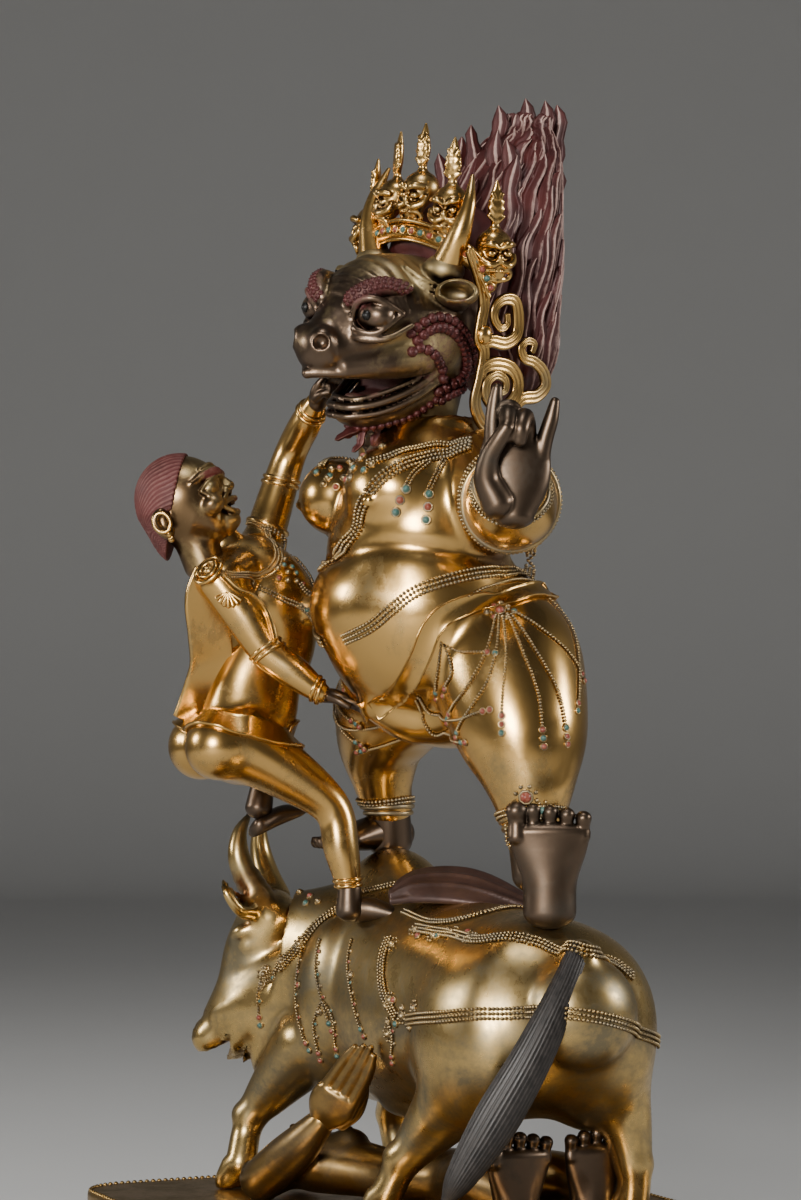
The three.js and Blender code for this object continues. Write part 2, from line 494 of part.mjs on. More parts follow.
function consortHead() {
  const skull = ball([0, 2, 3], [24, 26, 26], { sides: 9, rows: 6 });
  const hair = limb([[0, -2, 20, 21, 10], [0, 14, 14, 24, 13], [0, 18, 0, 22, 11]],
    { sides: 6, up: [0, -0.2, 1] });
  const jaw = limb([[0, -4, -10, 18, 12], [0, -15, -16, 13, 9], [0, -21, -18, 8, 6]], { sides: 6 });
  const nose = limb([[0, -22, 8, 3], [0, -27, 0, 4.5]], { sides: 4, up: [0, 1, 0] });
  const brows = limb([[-16, -18, 9, 3, 3], [0, -25, 7, 3, 3], [16, -18, 9, 3, 3]], { sides: 4 });
  const eyes = bothSides((s) => ball([s * 10, -21, 2], [5, 4, 4], { sides: 4, rows: 3 }));
  const ears = bothSides((s) => ball([s * 21.5, 3, -8], [4, 5, 10], { sides: 4, rows: 3 }));
  const { point, axis } = CONSORT_NECK;
  const floor = vec(point).addScaledVector(vec(axis), GAP).toArray();
  return placed(join(skull, hair, jaw, nose, brows, eyes, ears), CONSORT_HEAD)
    .add(limb(CONSORT_THROAT, { sides: 7, up: [0, 1, 0] }))
    .subtract(beyond(floor, axis.map((c) => -c)));
}
const SHORT_THUMB = [[7, 2, 4, 2.6], [8, 5, 13, 2.2]];
const CLOSED_FINGERS = [[[0, 0, 11, 7.6, 3], [0, 6, 15, 7.2, 3]], SHORT_THUMB];
const OPEN_FINGERS = [[[0, 0, 9, 8, 3], [-1, 2, 28, 6, 1.8]], SHORT_THUMB];
const CONSORT_RIGHT_HAND = { origin: [-19, -52, 336], up: [0.45, 0.85, -0.25], palm: [0.2, 0, -1] };
const CONSORT_LEFT_HAND = { origin: [-59, -39.8, 505], up: [0.75, 0.35, 0.55], palm: [0.2, 0.5, -0.8] };
const CONSORT_RIGHT_SOLE = { at: [-36, -14, 209], x: [0.9, -0.42, 0], y: [-0.42, -0.9, 0], z: UP };
const CONSORT_LEFT_SOLE = { at: [-110, -44, 261], x: [0.99, 0.14, 0], y: [0.13, -0.92, -0.37], z: [-0.05,
  0.37, 0.93] };
const consortFoot = ({ at, x, y, z }, side, ankle) => inFrame(foot(side, 40, 11, 1), at, x, y, z)
  .add(limb(ankle, { sides: 6, up: [0, 1, 0], round: 0.2 }));

// A hand set at its wrist: its palm faces the way given, with its fingers along up.
function handAt({ origin, up, palm }, fingers, size) {
  const z = vec(up).normalize();
  const y = vec(palm);
  y.addScaledVector(z, -y.dot(z)).normalize();
  const x = new THREE.Vector3().crossVectors(y, z);
  return inFrame(hand(fingers, size), origin, x.toArray(), y.toArray(), z.toArray());
}

// A flat band of metal: from the near shoulder it swings free down the back and wraps the hips.
const SCARF_BACK = [[-46, -114, 402], [-49, -120, 390], [-56, -116, 372], [-64, -110, 354],
  [-72, -114, 338],
  [-78, -117, 320]];
function consortScarf() {
  const hips = Array.from({ length: 9 }, (_, k) => {
    const a = 0.6 * Math.PI - (k / 8) * 1.75 * Math.PI;
    return [-72 + 30 * Math.cos(a), -84 + 34 * Math.sin(a), 322 + 4 * Math.sin(a)];
  });
  const loop = limb(SCARF_BACK.map((p) => [...p, 1.3, 6]), { sides: 6, up: [0.8, 0.1, 0.5] });
  return join(loop, limb(hips.map((p) => [...p, 2, 6]), { sides: 4 }));
}

// Finishes and the assembly
const material = (color, metalness, roughness) => new THREE.MeshStandardMaterial({ color, metalness,
  roughness });
const GOLD = material(0xb8903f, 1, 0.22);
const DULL_GOLD = material(0x8f733f, 1, 0.34);
const DARK_BRONZE = material(0x3a2d26, 0.8, 0.42);
const RED_HAIR = material(0x5d2a2a, 0.3, 0.55);
const FACE_BRONZE = material(0x4c3a2b, 0.75, 0.42);
const COMBED_IRON = material(0x1f1b19, 0.6, 0.5);

// Where two pieces meet, the later one gives way to the earlier one by the gap.
function giveWay(solid, other) {
  if (solid.minGap(other, GAP) >= GAP) return solid;
  const middle = (box) => vec(box.min).add(vec(box.max)).multiplyScalar(0.5);
  const touch = solid.intersect(other);
  const from = middle((touch.isEmpty() ? other : touch).boundingBox());
  const away = middle(solid.boundingBox()).sub(from).normalize().multiplyScalar(GAP);
  const cut = solid.subtract(other.translate(away.toArray()));
  return cut.intersect(other).volume() > 0.005 ? cut.subtract(other) : cut;
}
const pieces = [
  ['plinth', plinth(), DULL_GOLD],
  ['buffalo', buffalo(), DULL_GOLD],
  ['buffalo_tail', buffaloTail(), COMBED_IRON],
  ['saddle_hide', saddleHide(), RED_HAIR],
  ['fallen_figure', fallenFigure(), DULL_GOLD],
  ['yama_body', yamaBody(), GOLD],
  ['yama_left_hand', handAt(YAMA_LEFT_HAND, THREAT_FINGERS, [18, 7.5, 25]), DARK_BRONZE],
  ['yama_right_hand', handAt(YAMA_RIGHT_HAND, FIST, [17, 7, 15]), DARK_BRONZE],
  ['yama_left_foot', yamaLeftFoot(), DARK_BRONZE],
  ['yama_right_foot', yamaRightFoot(), DARK_BRONZE],
  ['yama_head', yamaHead(), FACE_BRONZE],
  ['yama_left_horn', yamaHorn(1), GOLD],
  ['yama_right_horn', yamaHorn(-1), GOLD],
  ['yama_hair', yamaHair(), RED_HAIR],
  ['yama_crown', yamaCrown(), GOLD],
  ['yama_left_ribbon', yamaRibbon(1), GOLD],
  ['yama_right_ribbon', yamaRibbon(-1), GOLD],
  ['consort_body', consortBody(), GOLD],
  ['consort_head', consortHead(), FACE_BRONZE],
  ['consort_right_foot', consortFoot(CONSORT_RIGHT_SOLE, -1, [[-39, -26, 212, 6, 6],
    [-40, -27, 221, 6, 6]]), DARK_BRONZE],
  ['consort_left_foot', consortFoot(CONSORT_LEFT_SOLE, 1, [[-111, -54, 268, 6, 6],
    [-111, -52, 281, 6, 6]]), DARK_BRONZE],
  ['consort_right_hand', handAt(CONSORT_RIGHT_HAND, CLOSED_FINGERS, [8.5, 4, 7]), DARK_BRONZE],
  ['consort_left_hand', handAt(CONSORT_LEFT_HAND, OPEN_FINGERS, [8.5, 4, 7]), DARK_BRONZE],
  ['consort_scarf', consortScarf(), GOLD],
];
const kept = [];
for (const [name, solid, finish] of pieces) {
  const trimmed = kept.reduce((s, other) => giveWay(s, other.solid), solid);
  const [largest] = trimmed.decompose().sort((a, b) => b.volume() - a.volume());
  kept.push({ name, solid: largest, finish });
}

// A solid as a mesh of the scene
function meshOf({ name, solid, finish }) {
  const { vertProperties, triVerts } = solid.getMesh();
  const g = new THREE.BufferGeometry();
  g.setAttribute('position', new THREE.BufferAttribute(new Float32Array(vertProperties), 3));
  g.setIndex(new THREE.BufferAttribute(new Uint32Array(triVerts), 1));
  g.computeVertexNormals();
  const mesh = new THREE.Mesh(g, finish);
  mesh.name = name;
  return mesh;
}

const statue = new THREE.Group();
statue.add(...kept.map(meshOf));
export default statue;
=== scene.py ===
"""A gilt bronze bull-headed guardian and his consort on a buffalo, laid out as a Blender add-on.

Lengths in the shape functions are millimetres in the part's own frame: +Z up, the guardian faces -Y.
"""

import math
from functools import partial

import bpy
import numpy as np
from mathutils import Matrix


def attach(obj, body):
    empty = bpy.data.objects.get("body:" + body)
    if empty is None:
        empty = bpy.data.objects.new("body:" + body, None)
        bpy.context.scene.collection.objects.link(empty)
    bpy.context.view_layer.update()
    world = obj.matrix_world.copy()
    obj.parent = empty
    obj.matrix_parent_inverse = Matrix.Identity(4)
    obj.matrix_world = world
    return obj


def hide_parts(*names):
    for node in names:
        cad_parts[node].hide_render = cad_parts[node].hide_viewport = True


bl_info = {
    "name": "Gilt Bronze Guardian on a Buffalo",
    "version": (1, 0, 0),
    "blender": (4, 5, 0),
    "location": "View3D > Sidebar > Guardian",
    "description": "Builds the polished figures, their cords, stones and hair around the solid model",
    "category": "Object",
}

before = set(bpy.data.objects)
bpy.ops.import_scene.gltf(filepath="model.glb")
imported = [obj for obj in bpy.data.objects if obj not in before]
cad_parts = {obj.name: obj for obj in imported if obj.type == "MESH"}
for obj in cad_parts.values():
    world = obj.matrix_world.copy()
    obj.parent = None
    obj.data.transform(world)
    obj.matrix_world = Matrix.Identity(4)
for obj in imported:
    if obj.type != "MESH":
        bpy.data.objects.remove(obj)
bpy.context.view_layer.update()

# The camera: a long lens a little above the plinth's edge, turned 65 degrees
VIEW_TURN = math.radians(65)
VIEW_RISE = math.atan(140 / 3000)
VIEW_FROM = np.array([1505.1, -716.8, 311.5])
PICTURE = (801, 1200)
LENS = 90.0
SENSOR = 36.0
SIGHT = (1430.0, 1860.0)  # how far off the statue begins and ends
OUT = np.array([math.sin(VIEW_TURN), -math.cos(VIEW_TURN), 0.0])
ALONG = np.array([math.cos(VIEW_TURN), math.sin(VIEW_TURN), 0.0])
UP = np.array([0.0, 0.0, 1.0])
PLINTH_TOP = 52.0
FAR_OFF = 40.0  # the distance that a form gives where none of its parts is near
EVENING_ROUNDS = 2  # how often the points of a skin are evened out
BEAD_LIFT = 0.75  # how far a bead's middle stands off the skin, in bead radii

# Grid step of each kind of skin, in mm
BUFFALO_STEP = 2.35
HIDE_STEP = 1.3
LYING_STEP = 2.15
GUARDIAN_STEP = 2.25
HEAD_STEP = 1.28
HORN_STEP = 1.2
HAIR_STEP = 3.0
LIMB_STEP = 1.05
SKULL_STEP = 0.82
DIADEM_STEP = 1.4
BOSS_STEP = 0.8
CONSORT_STEP = 1.65
CONSORT_HEAD_STEP = 0.95
CONSORT_HAIR_STEP = 0.72
CONSORT_LIMB_STEP = 0.8


# Curves and frames
def spline(points, count):
    """A cubic through each pair of points. The tangent at a point is half the step between its neighbours."""
    p = np.asarray(points, float)
    ends = np.vstack([2 * p[0] - p[1], p, 2 * p[-1] - p[-2]])
    t = np.linspace(0, len(p) - 1, count)
    i = np.minimum(t.astype(int), len(p) - 2)
    u = (t - i)[:, None]
    a, b, c, d = ends[i], ends[i + 1], ends[i + 2], ends[i + 3]
    return 0.5 * (2 * b + (c - a) * u + (2 * a - 5 * b + 4 * c - d) * u**2 + (3 * b - a - 3 * c + d) * u**3)


def evenly(points, pitch):
    """Points along a broken line, one pitch apart by length."""
    steps = np.linalg.norm(np.diff(points, axis=0), axis=1)
    along = np.concatenate([[0], np.cumsum(steps)])
    count = max(int(round(along[-1] / pitch)) + 1, 2)
    want = np.linspace(0, along[-1], count)
    return np.stack([np.interp(want, along, points[:, k]) for k in range(points.shape[1])], 1)


def unit(v):
    v = np.asarray(v, float)
    return v / np.maximum(np.linalg.norm(v, axis=-1, keepdims=True), 1e-9)


def turned(origin, turn, lean, nod):
    """A frame at a point, turned about Z, then leant about Y, then nodded about X, in degrees."""
    a, b, c = (math.radians(v) for v in (turn, lean, nod))
    z = np.array([[math.cos(a), -math.sin(a), 0], [math.sin(a), math.cos(a), 0], [0, 0, 1]])
    y = np.array([[math.cos(b), 0, math.sin(b)], [0, 1, 0], [-math.sin(b), 0, math.cos(b)]])
    x = np.array([[1, 0, 0], [0, math.cos(c), -math.sin(c)], [0, math.sin(c), math.cos(c)]])
    return np.asarray(origin, float), z @ y @ x


def facing(origin, up, palm):
    """A hand's frame: Z runs along the fingers and Y out of the palm."""
    z = unit(up)
    y = unit(np.asarray(palm, float) - np.dot(palm, z) * z)
    return np.asarray(origin, float), np.stack([np.cross(y, z), y, z], 1)


def axes(origin, x, y, z):
    return np.asarray(origin, float), np.stack([unit(x), unit(y), unit(z)], 1)


# Closed forms as distances: each part gives how far a point lies from its skin, less than 0 inside
def oval(local, size):
    """Distance to an oval: (k - 1) k / g, with k the length of the point over the half sizes and g of the
    point over their squares."""
    k = np.sqrt(((local / size) ** 2).sum(-1))
    g = np.sqrt(((local / size**2) ** 2).sum(-1))
    return k * (k - 1) / np.maximum(g, 1e-9)


class Ball:
    """An oval ball with its half sizes along its own axes."""

    def __init__(self, centre, size, turn=(0, 0, 0)):
        self.centre, self.axes = turned(centre, *turn)
        self.size = np.broadcast_to(np.asarray(size, float), 3)
        reach = self.size.max()
        self.low, self.high = self.centre - reach, self.centre + reach

    def distance(self, p):
        return oval((p - self.centre) @ self.axes, self.size)


class Limb:
    """An oval section carried along a curve: the oval distance at the nearest place of the curve.

    A station is x, y, z, half width and half height, and up is the way that the half height points."""

    def __init__(self, stations, up=(0, 0, 1), cap=0.8, fine=7):
        rows = np.array([tuple(s) + (s[3],) if len(s) == 4 else tuple(s) for s in stations], float)
        line = spline(rows, (len(rows) - 1) * fine + 1)
        self.line, self.size = line[:, :3], np.maximum(line[:, 3:], 0.25)
        run = np.gradient(self.line, axis=0)
        self.step = np.linalg.norm(run, axis=1)
        ahead = unit(run)
        side = unit(np.cross(np.asarray(up, float), ahead))
        self.trio = np.stack([side, np.cross(ahead, side), ahead], 1)
        self.cap = cap
        reach = self.size.max(1)[:, None]
        self.low, self.high = (self.line - reach).min(0), (self.line + reach).max(0)

    def distance(self, p):
        c = self.line
        near = ((c**2).sum(1)[None] - 2 * p @ c.T).argmin(1)
        shift = np.einsum("ij,ij->i", p - c[near], self.trio[near, 2]) / self.step[near]
        place = np.clip(near + np.clip(shift, -0.6, 0.6), 0, len(c) - 1)
        i = np.minimum(place.astype(int), len(c) - 2)
        f = (place - i)[:, None]
        middle = c[i] * (1 - f) + c[i + 1] * f
        trio = self.trio[i] * (1 - f[..., None]) + self.trio[i + 1] * f[..., None]
        size = self.size[i] * (1 - f) + self.size[i + 1] * f
        local = np.einsum("ikj,ij->ik", trio, p - middle)
        end = np.maximum(self.cap * size.min(1), 0.25)[:, None]
        return oval(local, np.hstack([size, end]))


class Half:
    """The half space on the side of a point that an axis shows."""

    def __init__(self, point, axis):
        self.point, self.axis = np.asarray(point, float), unit(axis)
        self.low, self.high = np.full(3, -1e4), np.full(3, 1e4)

    def distance(self, p):
        return (self.point - p) @ self.axis


class Form:
    """Parts joined and cut with soft joins, where a soft join of k rounds the crease over about k."""

    def __init__(self, place=None):
        self.steps = []
        self.place = place or (np.zeros(3), np.eye(3))

    def add(self, part, soft=4.0):
        self.steps.append(("add", part, soft))
        return self

    def cut(self, part, soft=1.0):
        self.steps.append(("cut", part, soft))
        return self

    def keep(self, part, soft=0.5):
        self.steps.append(("keep", part, soft))
        return self

    def at(self, p):
        """The soft minimum: min(a, b) less k/6 times the cube of 1 - |a - b|/k where that is positive."""
        f = np.full(len(p), FAR_OFF)
        for kind, part, soft in self.steps:
            reach = 16 + soft
            inside = ((p > part.low - reach) & (p < part.high + reach)).all(1)
            if kind == "keep":
                inside[:] = True
            if not inside.any():
                continue
            d = part.distance(p[inside])
            old = f[inside]
            if kind != "add":
                d, old = (-d if kind == "cut" else d) * -1, -old
            near = np.maximum(soft - np.abs(old - d), 0) / max(soft, 1e-6)
            new = np.minimum(old, d) - near**3 * soft / 6
            f[inside] = new if kind == "add" else -new
        return f

    def slope(self, p, reach=0.4):
        """Value and gradient from the four corners of a small tetrahedron."""
        corners = np.array([[1, 1, 1], [1, -1, -1], [-1, 1, -1], [-1, -1, 1]], float)
        values = [self.at(p + c * reach) for c in corners]
        grad = sum(v[:, None] * c for v, c in zip(values, corners)) / (4 * reach)
        return sum(values) / 4, grad

    def settle(self, p, rounds=3, reach=0.4, limit=1.5):
        """Moves points onto the skin along the gradient, and gives the outward normals there."""
        for _ in range(rounds):
            f, g = self.slope(p, reach)
            g2 = np.maximum((g**2).sum(1), 0.3)
            p = p - np.clip(f / g2, -limit, limit)[:, None] * g
        return p, unit(self.slope(p, reach)[1])

    def size_box(self):
        low = np.min([s[1].low for s in self.steps if s[0] == "add"], 0)
        high = np.max([s[1].high for s in self.steps if s[0] == "add"], 0)
        return low, high


def sampled(form, voxel):
    """Values on a grid. Blocks of 6 steps that the skin can't reach keep their middle's value."""
    low, high = form.size_box()
    low = low - 3 * voxel
    side = 6
    blocks = np.ceil((high + 3 * voxel - low) / (side * voxel)).astype(int)
    mesh = np.stack(np.meshgrid(*[np.arange(n) for n in blocks], indexing="ij"), -1).reshape(-1, 3)
    middles = low + (mesh + 0.5) * side * voxel - 0.5 * voxel
    rough = form.at(middles)
    values = np.repeat(rough, side**3).reshape(*blocks, side, side, side)
    active = np.abs(rough) < side * voxel * 1.25 + 1.5
    inner = np.stack(np.meshgrid(*[np.arange(side)] * 3, indexing="ij"), -1).reshape(-1, 3)
    chosen = mesh[active]
    flat = values.reshape(-1, side**3)
    index = np.flatnonzero(active)
    for start in range(0, len(chosen), 300):
        some = chosen[start:start + 300]
        points = low + (some[:, None] * side + inner[None]).reshape(-1, 3) * voxel
        flat[index[start:start + 300]] = form.at(points).reshape(-1, side**3)
    grid = flat.reshape(*blocks, side, side, side).transpose(0, 3, 1, 4, 2, 5)
    return grid.reshape(*(blocks * side)), low


def skinned(form, voxel, ease=1):
    """Surface nets: a point in each cell that the skin crosses, at the mean of its edge crossings, and a
    quad round each crossed grid edge. The points are evened out and settled onto the skin, and each normal
    takes in its neighbours' as often as ease says."""
    grid, low = sampled(form, voxel)
    inside = grid < 0
    cells = tuple(n - 1 for n in grid.shape)
    total = np.zeros(cells + (3,), np.float32)
    hits = np.zeros(cells, np.float32)
    quads = []
    for axis in range(3):
        a = np.moveaxis(grid, axis, 0)
        s = np.moveaxis(inside, axis, 0)
        cross = s[1:] != s[:-1]
        where = np.argwhere(cross)
        va, vb = a[:-1][cross], a[1:][cross]
        share = va / (va - vb)
        sign = s[:-1][cross]
        others = [k for k in range(3) if k != axis]
        base = np.zeros((len(where), 3), int)
        base[:, axis] = where[:, 0]
        base[:, others[0]] = where[:, 1]
        base[:, others[1]] = where[:, 2]
        point = base.astype(np.float32)
        point[:, axis] += share
        for du in (0, 1):
            for dv in (0, 1):
                cell = base.copy()
                cell[:, others[0]] -= du
                cell[:, others[1]] -= dv
                fits = (cell >= 0).all(1) & (cell < cells).all(1)
                key = np.ravel_multi_index(cell[fits].T, cells)
                for k in range(3):
                    total[..., k].reshape(-1)[:] += np.bincount(key, point[fits, k],
                                                                hits.size).astype(np.float32)
                hits.reshape(-1)[:] += np.bincount(key, minlength=hits.size)
        ring = []
        for du, dv in ((1, 1), (0, 1), (0, 0), (1, 0)):
            cell = base.copy()
            cell[:, others[0]] -= du
            cell[:, others[1]] -= dv
            ring.append(np.ravel_multi_index(np.clip(cell, 0, np.array(cells) - 1).T, cells))
        ring = np.stack(ring, 1)
        flip = sign if axis != 1 else ~sign
        ring[~flip] = ring[~flip][:, ::-1]
        quads.append(ring)
    full = hits.reshape(-1) > 0
    number = np.cumsum(full) - 1
    faces = number[np.vstack(quads)]
    points = total.reshape(-1, 3)[full] / hits.reshape(-1)[full][:, None]
    points = low + points.astype(float) * voxel
    edges = np.vstack([faces[:, [k, (k + 1) % 4]] for k in range(4)])
    for _ in range(EVENING_ROUNDS):
        points, _ = form.settle(points, 1)
        count = np.bincount(edges[:, 0], minlength=len(points))[:, None]
        mean = np.stack([np.bincount(edges[:, 0], points[edges[:, 1], k], len(points)) for k in range(3)], 1)
        points = 0.4 * points + 0.6 * mean / np.maximum(count, 1)
    points, normals = form.settle(points, 2)
    for _ in range(ease):
        mean = np.stack([np.bincount(edges[:, 0], normals[edges[:, 1], k], len(points)) for k in range(3)], 1)
        normals = unit(normals + mean / 2)
    return points, faces, normals


def hollowness(form, points, normals, reach):
    """How shut in a place is: 1 less the distance to the skin a step out, over that step. The materials
    darken shut-in places by it as painted shade.
    """
    return np.clip(1 - form.at(points + normals * reach) / reach, 0, 1)


def rays(pixels):
    """Unit directions from the camera through picture points."""
    pixels = np.asarray(pixels, float)
    f = LENS / SENSOR * PICTURE[1]
    ahead = -OUT * math.cos(VIEW_RISE) + UP * math.sin(VIEW_RISE)
    rise = OUT * math.sin(VIEW_RISE) + UP * math.cos(VIEW_RISE)
    u = (pixels[:, :1] - PICTURE[0] / 2) / f
    v = (pixels[:, 1:2] - PICTURE[1] / 2) / f
    return unit(ahead + u * ALONG - v * rise)


def struck(form, pixels):
    """Where the lines of sight first meet a form, in the form's own frame: equal steps, then halving."""
    origin, trio = form.place
    start = (VIEW_FROM - origin) @ trio
    ways = rays(pixels) @ trio
    steps = np.linspace(*SIGHT, 260)
    line = start + ways[:, None] * steps[None, :, None]
    values = form.at(line.reshape(-1, 3)).reshape(len(ways), -1)
    first = np.where((values < 0).any(1), (values < 0).argmax(1), np.abs(values).argmin(1))
    low, high = steps[np.maximum(first - 1, 0)], steps[first]
    for _ in range(10):
        middle = (low + high) / 2
        inside = form.at(start + ways * middle[:, None]) < 0
        high = np.where(inside, middle, high)
        low = np.where(inside, low, middle)
    return form.settle(start + ways * high[:, None], 4, limit=3)[0]


# Meshes
def point_normals(points, faces):
    """The mean of the faces' cross products round each point."""
    cross = np.cross(points[faces[:, 1]] - points[faces[:, 0]], points[faces[:, 2]] - points[faces[:, 0]])
    if faces.shape[1] == 4:
        cross = np.cross(points[faces[:, 2]] - points[faces[:, 0]], points[faces[:, 3]] - points[faces[:, 1]])
    total = np.zeros_like(points)
    for k in range(3):
        total[:, k] = sum(np.bincount(faces[:, c], cross[:, k], len(points)) for c in range(faces.shape[1]))
    return unit(total)


class Lot:
    """Surfaces gathered into one piece, with a finish for each face and named values for each point."""

    def __init__(self, place=None):
        self.parts = []
        self.place = place or (np.zeros(3), np.eye(3))

    def add(self, points, faces, finish=0, normals=None, **values):
        faces = np.asarray(faces, int)
        normals = point_normals(points, faces) if normals is None else normals
        self.parts.append((points, faces, finish, normals, values))

    def copies(self, shape, origins, trios, sizes, finish=0, **values):
        """The same small surface at many places: its points times the size, along each place's own axes."""
        points, faces = shape
        count = len(origins)
        if count == 0:
            return
        sizes = np.broadcast_to(np.asarray(sizes, float).reshape(-1, 1, 1), (count, 1, 1))
        moved = np.einsum("nij,pj->npi", np.asarray(trios), points) * sizes + np.asarray(origins)[:, None]
        index = faces[None] + (np.arange(count) * len(points))[:, None, None]
        flat = {k: np.repeat(np.broadcast_to(v, count), len(points)) for k, v in values.items()}
        self.add(moved.reshape(-1, 3), index.reshape(-1, faces.shape[1]), finish, **flat)

    def piece(self, name, materials, replaced=()):
        names = sorted({key for part in self.parts for key in part[4]})
        origin, trio = self.place
        points = np.vstack([p[0] for p in self.parts]) @ trio.T + origin
        normals = np.vstack([p[3] for p in self.parts]) @ trio.T
        starts = np.cumsum([0] + [len(p[0]) for p in self.parts])
        corners = np.concatenate([(p[1] + s).reshape(-1) for p, s in zip(self.parts, starts)])
        sizes = np.concatenate([np.full(len(p[1]), p[1].shape[1]) for p in self.parts])
        finish = np.concatenate([np.full(len(p[1]), p[2]) for p in self.parts])
        name = name.replace(" ", "_").replace("'", "")
        mesh = bpy.data.meshes.new(name)
        mesh.vertices.add(len(points))
        mesh.vertices.foreach_set("co", (points / 1000).astype(np.float32).ravel())
        mesh.loops.add(len(corners))
        mesh.loops.foreach_set("vertex_index", corners.astype(np.int32))
        mesh.polygons.add(len(sizes))
        mesh.polygons.foreach_set("loop_start", np.concatenate([[0], np.cumsum(sizes)[:-1]]).astype(np.int32))
        mesh.polygons.foreach_set("material_index", finish.astype(np.int32))
        mesh.update(calc_edges=True)
        mesh.validate()
        mesh.polygons.foreach_set("use_smooth", np.ones(len(mesh.polygons), bool))
        mesh.normals_split_custom_set_from_vertices(normals.astype(np.float32).tolist())
        for key in names:
            value = np.concatenate([np.broadcast_to(p[4].get(key, 0.0), len(p[0])) for p in self.parts])
            mesh.attributes.new(key, "FLOAT", "POINT").data.foreach_set("value", value.astype(np.float32))
        for material in materials:
            mesh.materials.append(material)
        obj = bpy.data.objects.new(name, mesh)
        bpy.context.scene.collection.objects.link(obj)
        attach(obj, "root")
        if replaced:
            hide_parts(*replaced)


def sheet_faces(rows, columns, round_rows=False, round_columns=False):
    """Quads of a grid of points, closed on itself where told."""
    i, j = np.meshgrid(np.arange(rows if round_rows else rows - 1),
                       np.arange(columns if round_columns else columns - 1), indexing="ij")
    i, j = i.ravel(), j.ravel()
    k, m = (i + 1) % rows, (j + 1) % columns
    return np.stack([i * columns + j, i * columns + m, k * columns + m, k * columns + j], 1)


def shell_faces(rows, sides):
    """Quads of a stack of rings, with quads across both end rings. The number of sides is even."""
    across = np.arange(1, sides - 2, 2)
    end = np.stack([0 * across, across, across + 1, across + 2], 1)
    return np.vstack([sheet_faces(rows, sides, round_columns=True), end[:, ::-1], end + (rows - 1) * sides])


def tube(points, halves, up=(0, 0, 1), sides=10, profile=None, cap=0.7):
    """A closed skin along a curve: the profile's outline times the half width and half height at each place.

    Both ends shrink to a point over three more rings, as a quarter circle."""
    line = np.asarray(points, float)
    halves = np.asarray(halves, float)
    run = np.gradient(line, axis=0)
    ahead = unit(run)
    up = np.broadcast_to(np.asarray(up, float), line.shape)
    side = unit(np.cross(up, ahead))
    top = np.cross(ahead, side)
    if profile is None:
        a = 2 * np.pi * np.arange(sides) / sides
        profile = np.stack([np.cos(a), np.sin(a)], 1)
    bend = np.array([0.0, 0.5, 0.85])
    share = np.array([0.02, 0.62, 0.9])
    reach = cap * halves.min(1)
    first = [(0, -reach[0] * (1 - b), s) for b, s in zip(bend, share)]
    last = [(-1, reach[-1] * (1 - b), s) for b, s in zip(bend[::-1], share[::-1])]
    place = [(k, d, s) for k, d, s in first] + [(k, 0.0, 1.0) for k in range(len(line))] + last
    index = np.array([p[0] for p in place])
    shift = np.array([p[1] for p in place])[:, None]
    share = np.array([p[2] for p in place])[:, None, None]
    middle = line[index] + ahead[index] * shift
    flat = side[index][:, None] * profile[None, :, :1] * halves[index][:, None, :1]
    flat = flat + top[index][:, None] * profile[None, :, 1:] * halves[index][:, None, 1:2]
    grid = middle[:, None] + flat * share
    return grid.reshape(-1, 3), shell_faces(len(grid), len(profile))


def turned_shape(outline, sides=10):
    """A closed profile of radius and height, turned about Z."""
    outline = np.asarray(outline, float)
    a = 2 * np.pi * np.arange(sides) / sides
    points = np.stack([outline[:, :1] * np.cos(a), outline[:, :1] * np.sin(a),
                       np.repeat(outline[:, 1:], sides, 1)], -1)
    return points.reshape(-1, 3), shell_faces(len(outline), sides)


BEAD = turned_shape([(0.95, -0.3), (0.88, 0.45), (0.34, 0.95)], 6)
CURL = turned_shape([(0.8, -0.6), (1, 0.1), (0.75, 0.68), (0.3, 0.56), (0.2, 1.0)], 8)
COLLET = turned_shape([(1.1, -0.4), (1.3, 0.3), (1.08, 0.5), (0.92, 0.3)], 8)
STONE = turned_shape([(0.95, 0.1), (0.85, 0.6), (0.3, 1.0)], 8)


def upright(normals, along=None):
    """Axes with Z on each normal."""
    n = unit(normals)
    seed = np.broadcast_to(np.asarray([0.31, 0.17, 0.93] if along is None else along, float), n.shape)
    x = unit(np.cross(seed, n))
    return np.stack([x, np.cross(n, x), n], 2)


def cord(lot, form, path, bead, rows, finish=1):
    """Bead cords on a form: beads one pitch apart on the settled path, shifted sideways for each row."""
    bead *= 1.25 * settings().bead_size
    line = spline(path, len(path) * 14)
    line = evenly(line, bead * 1.9)
    line, normals = form.settle(line, 2)
    side = unit(np.cross(normals, np.gradient(line, axis=0)))
    for k in range(rows):
        shift = (k - (rows - 1) / 2) * 2.1 * bead
        place = line + side * shift
        if rows > 1:
            place, normals = form.settle(place, 1)
        lot.copies(BEAD, place + normals * bead * BEAD_LIFT, upright(normals), bead, finish)
    return line


BAND = ((-1, 0), (-0.97, 1.3), (-0.86, 1.3), (-0.78, 0.6), (0, 0.5), (0.78, 0.6), (0.86, 1.3), (0.97, 1.3),
        (1, 0))


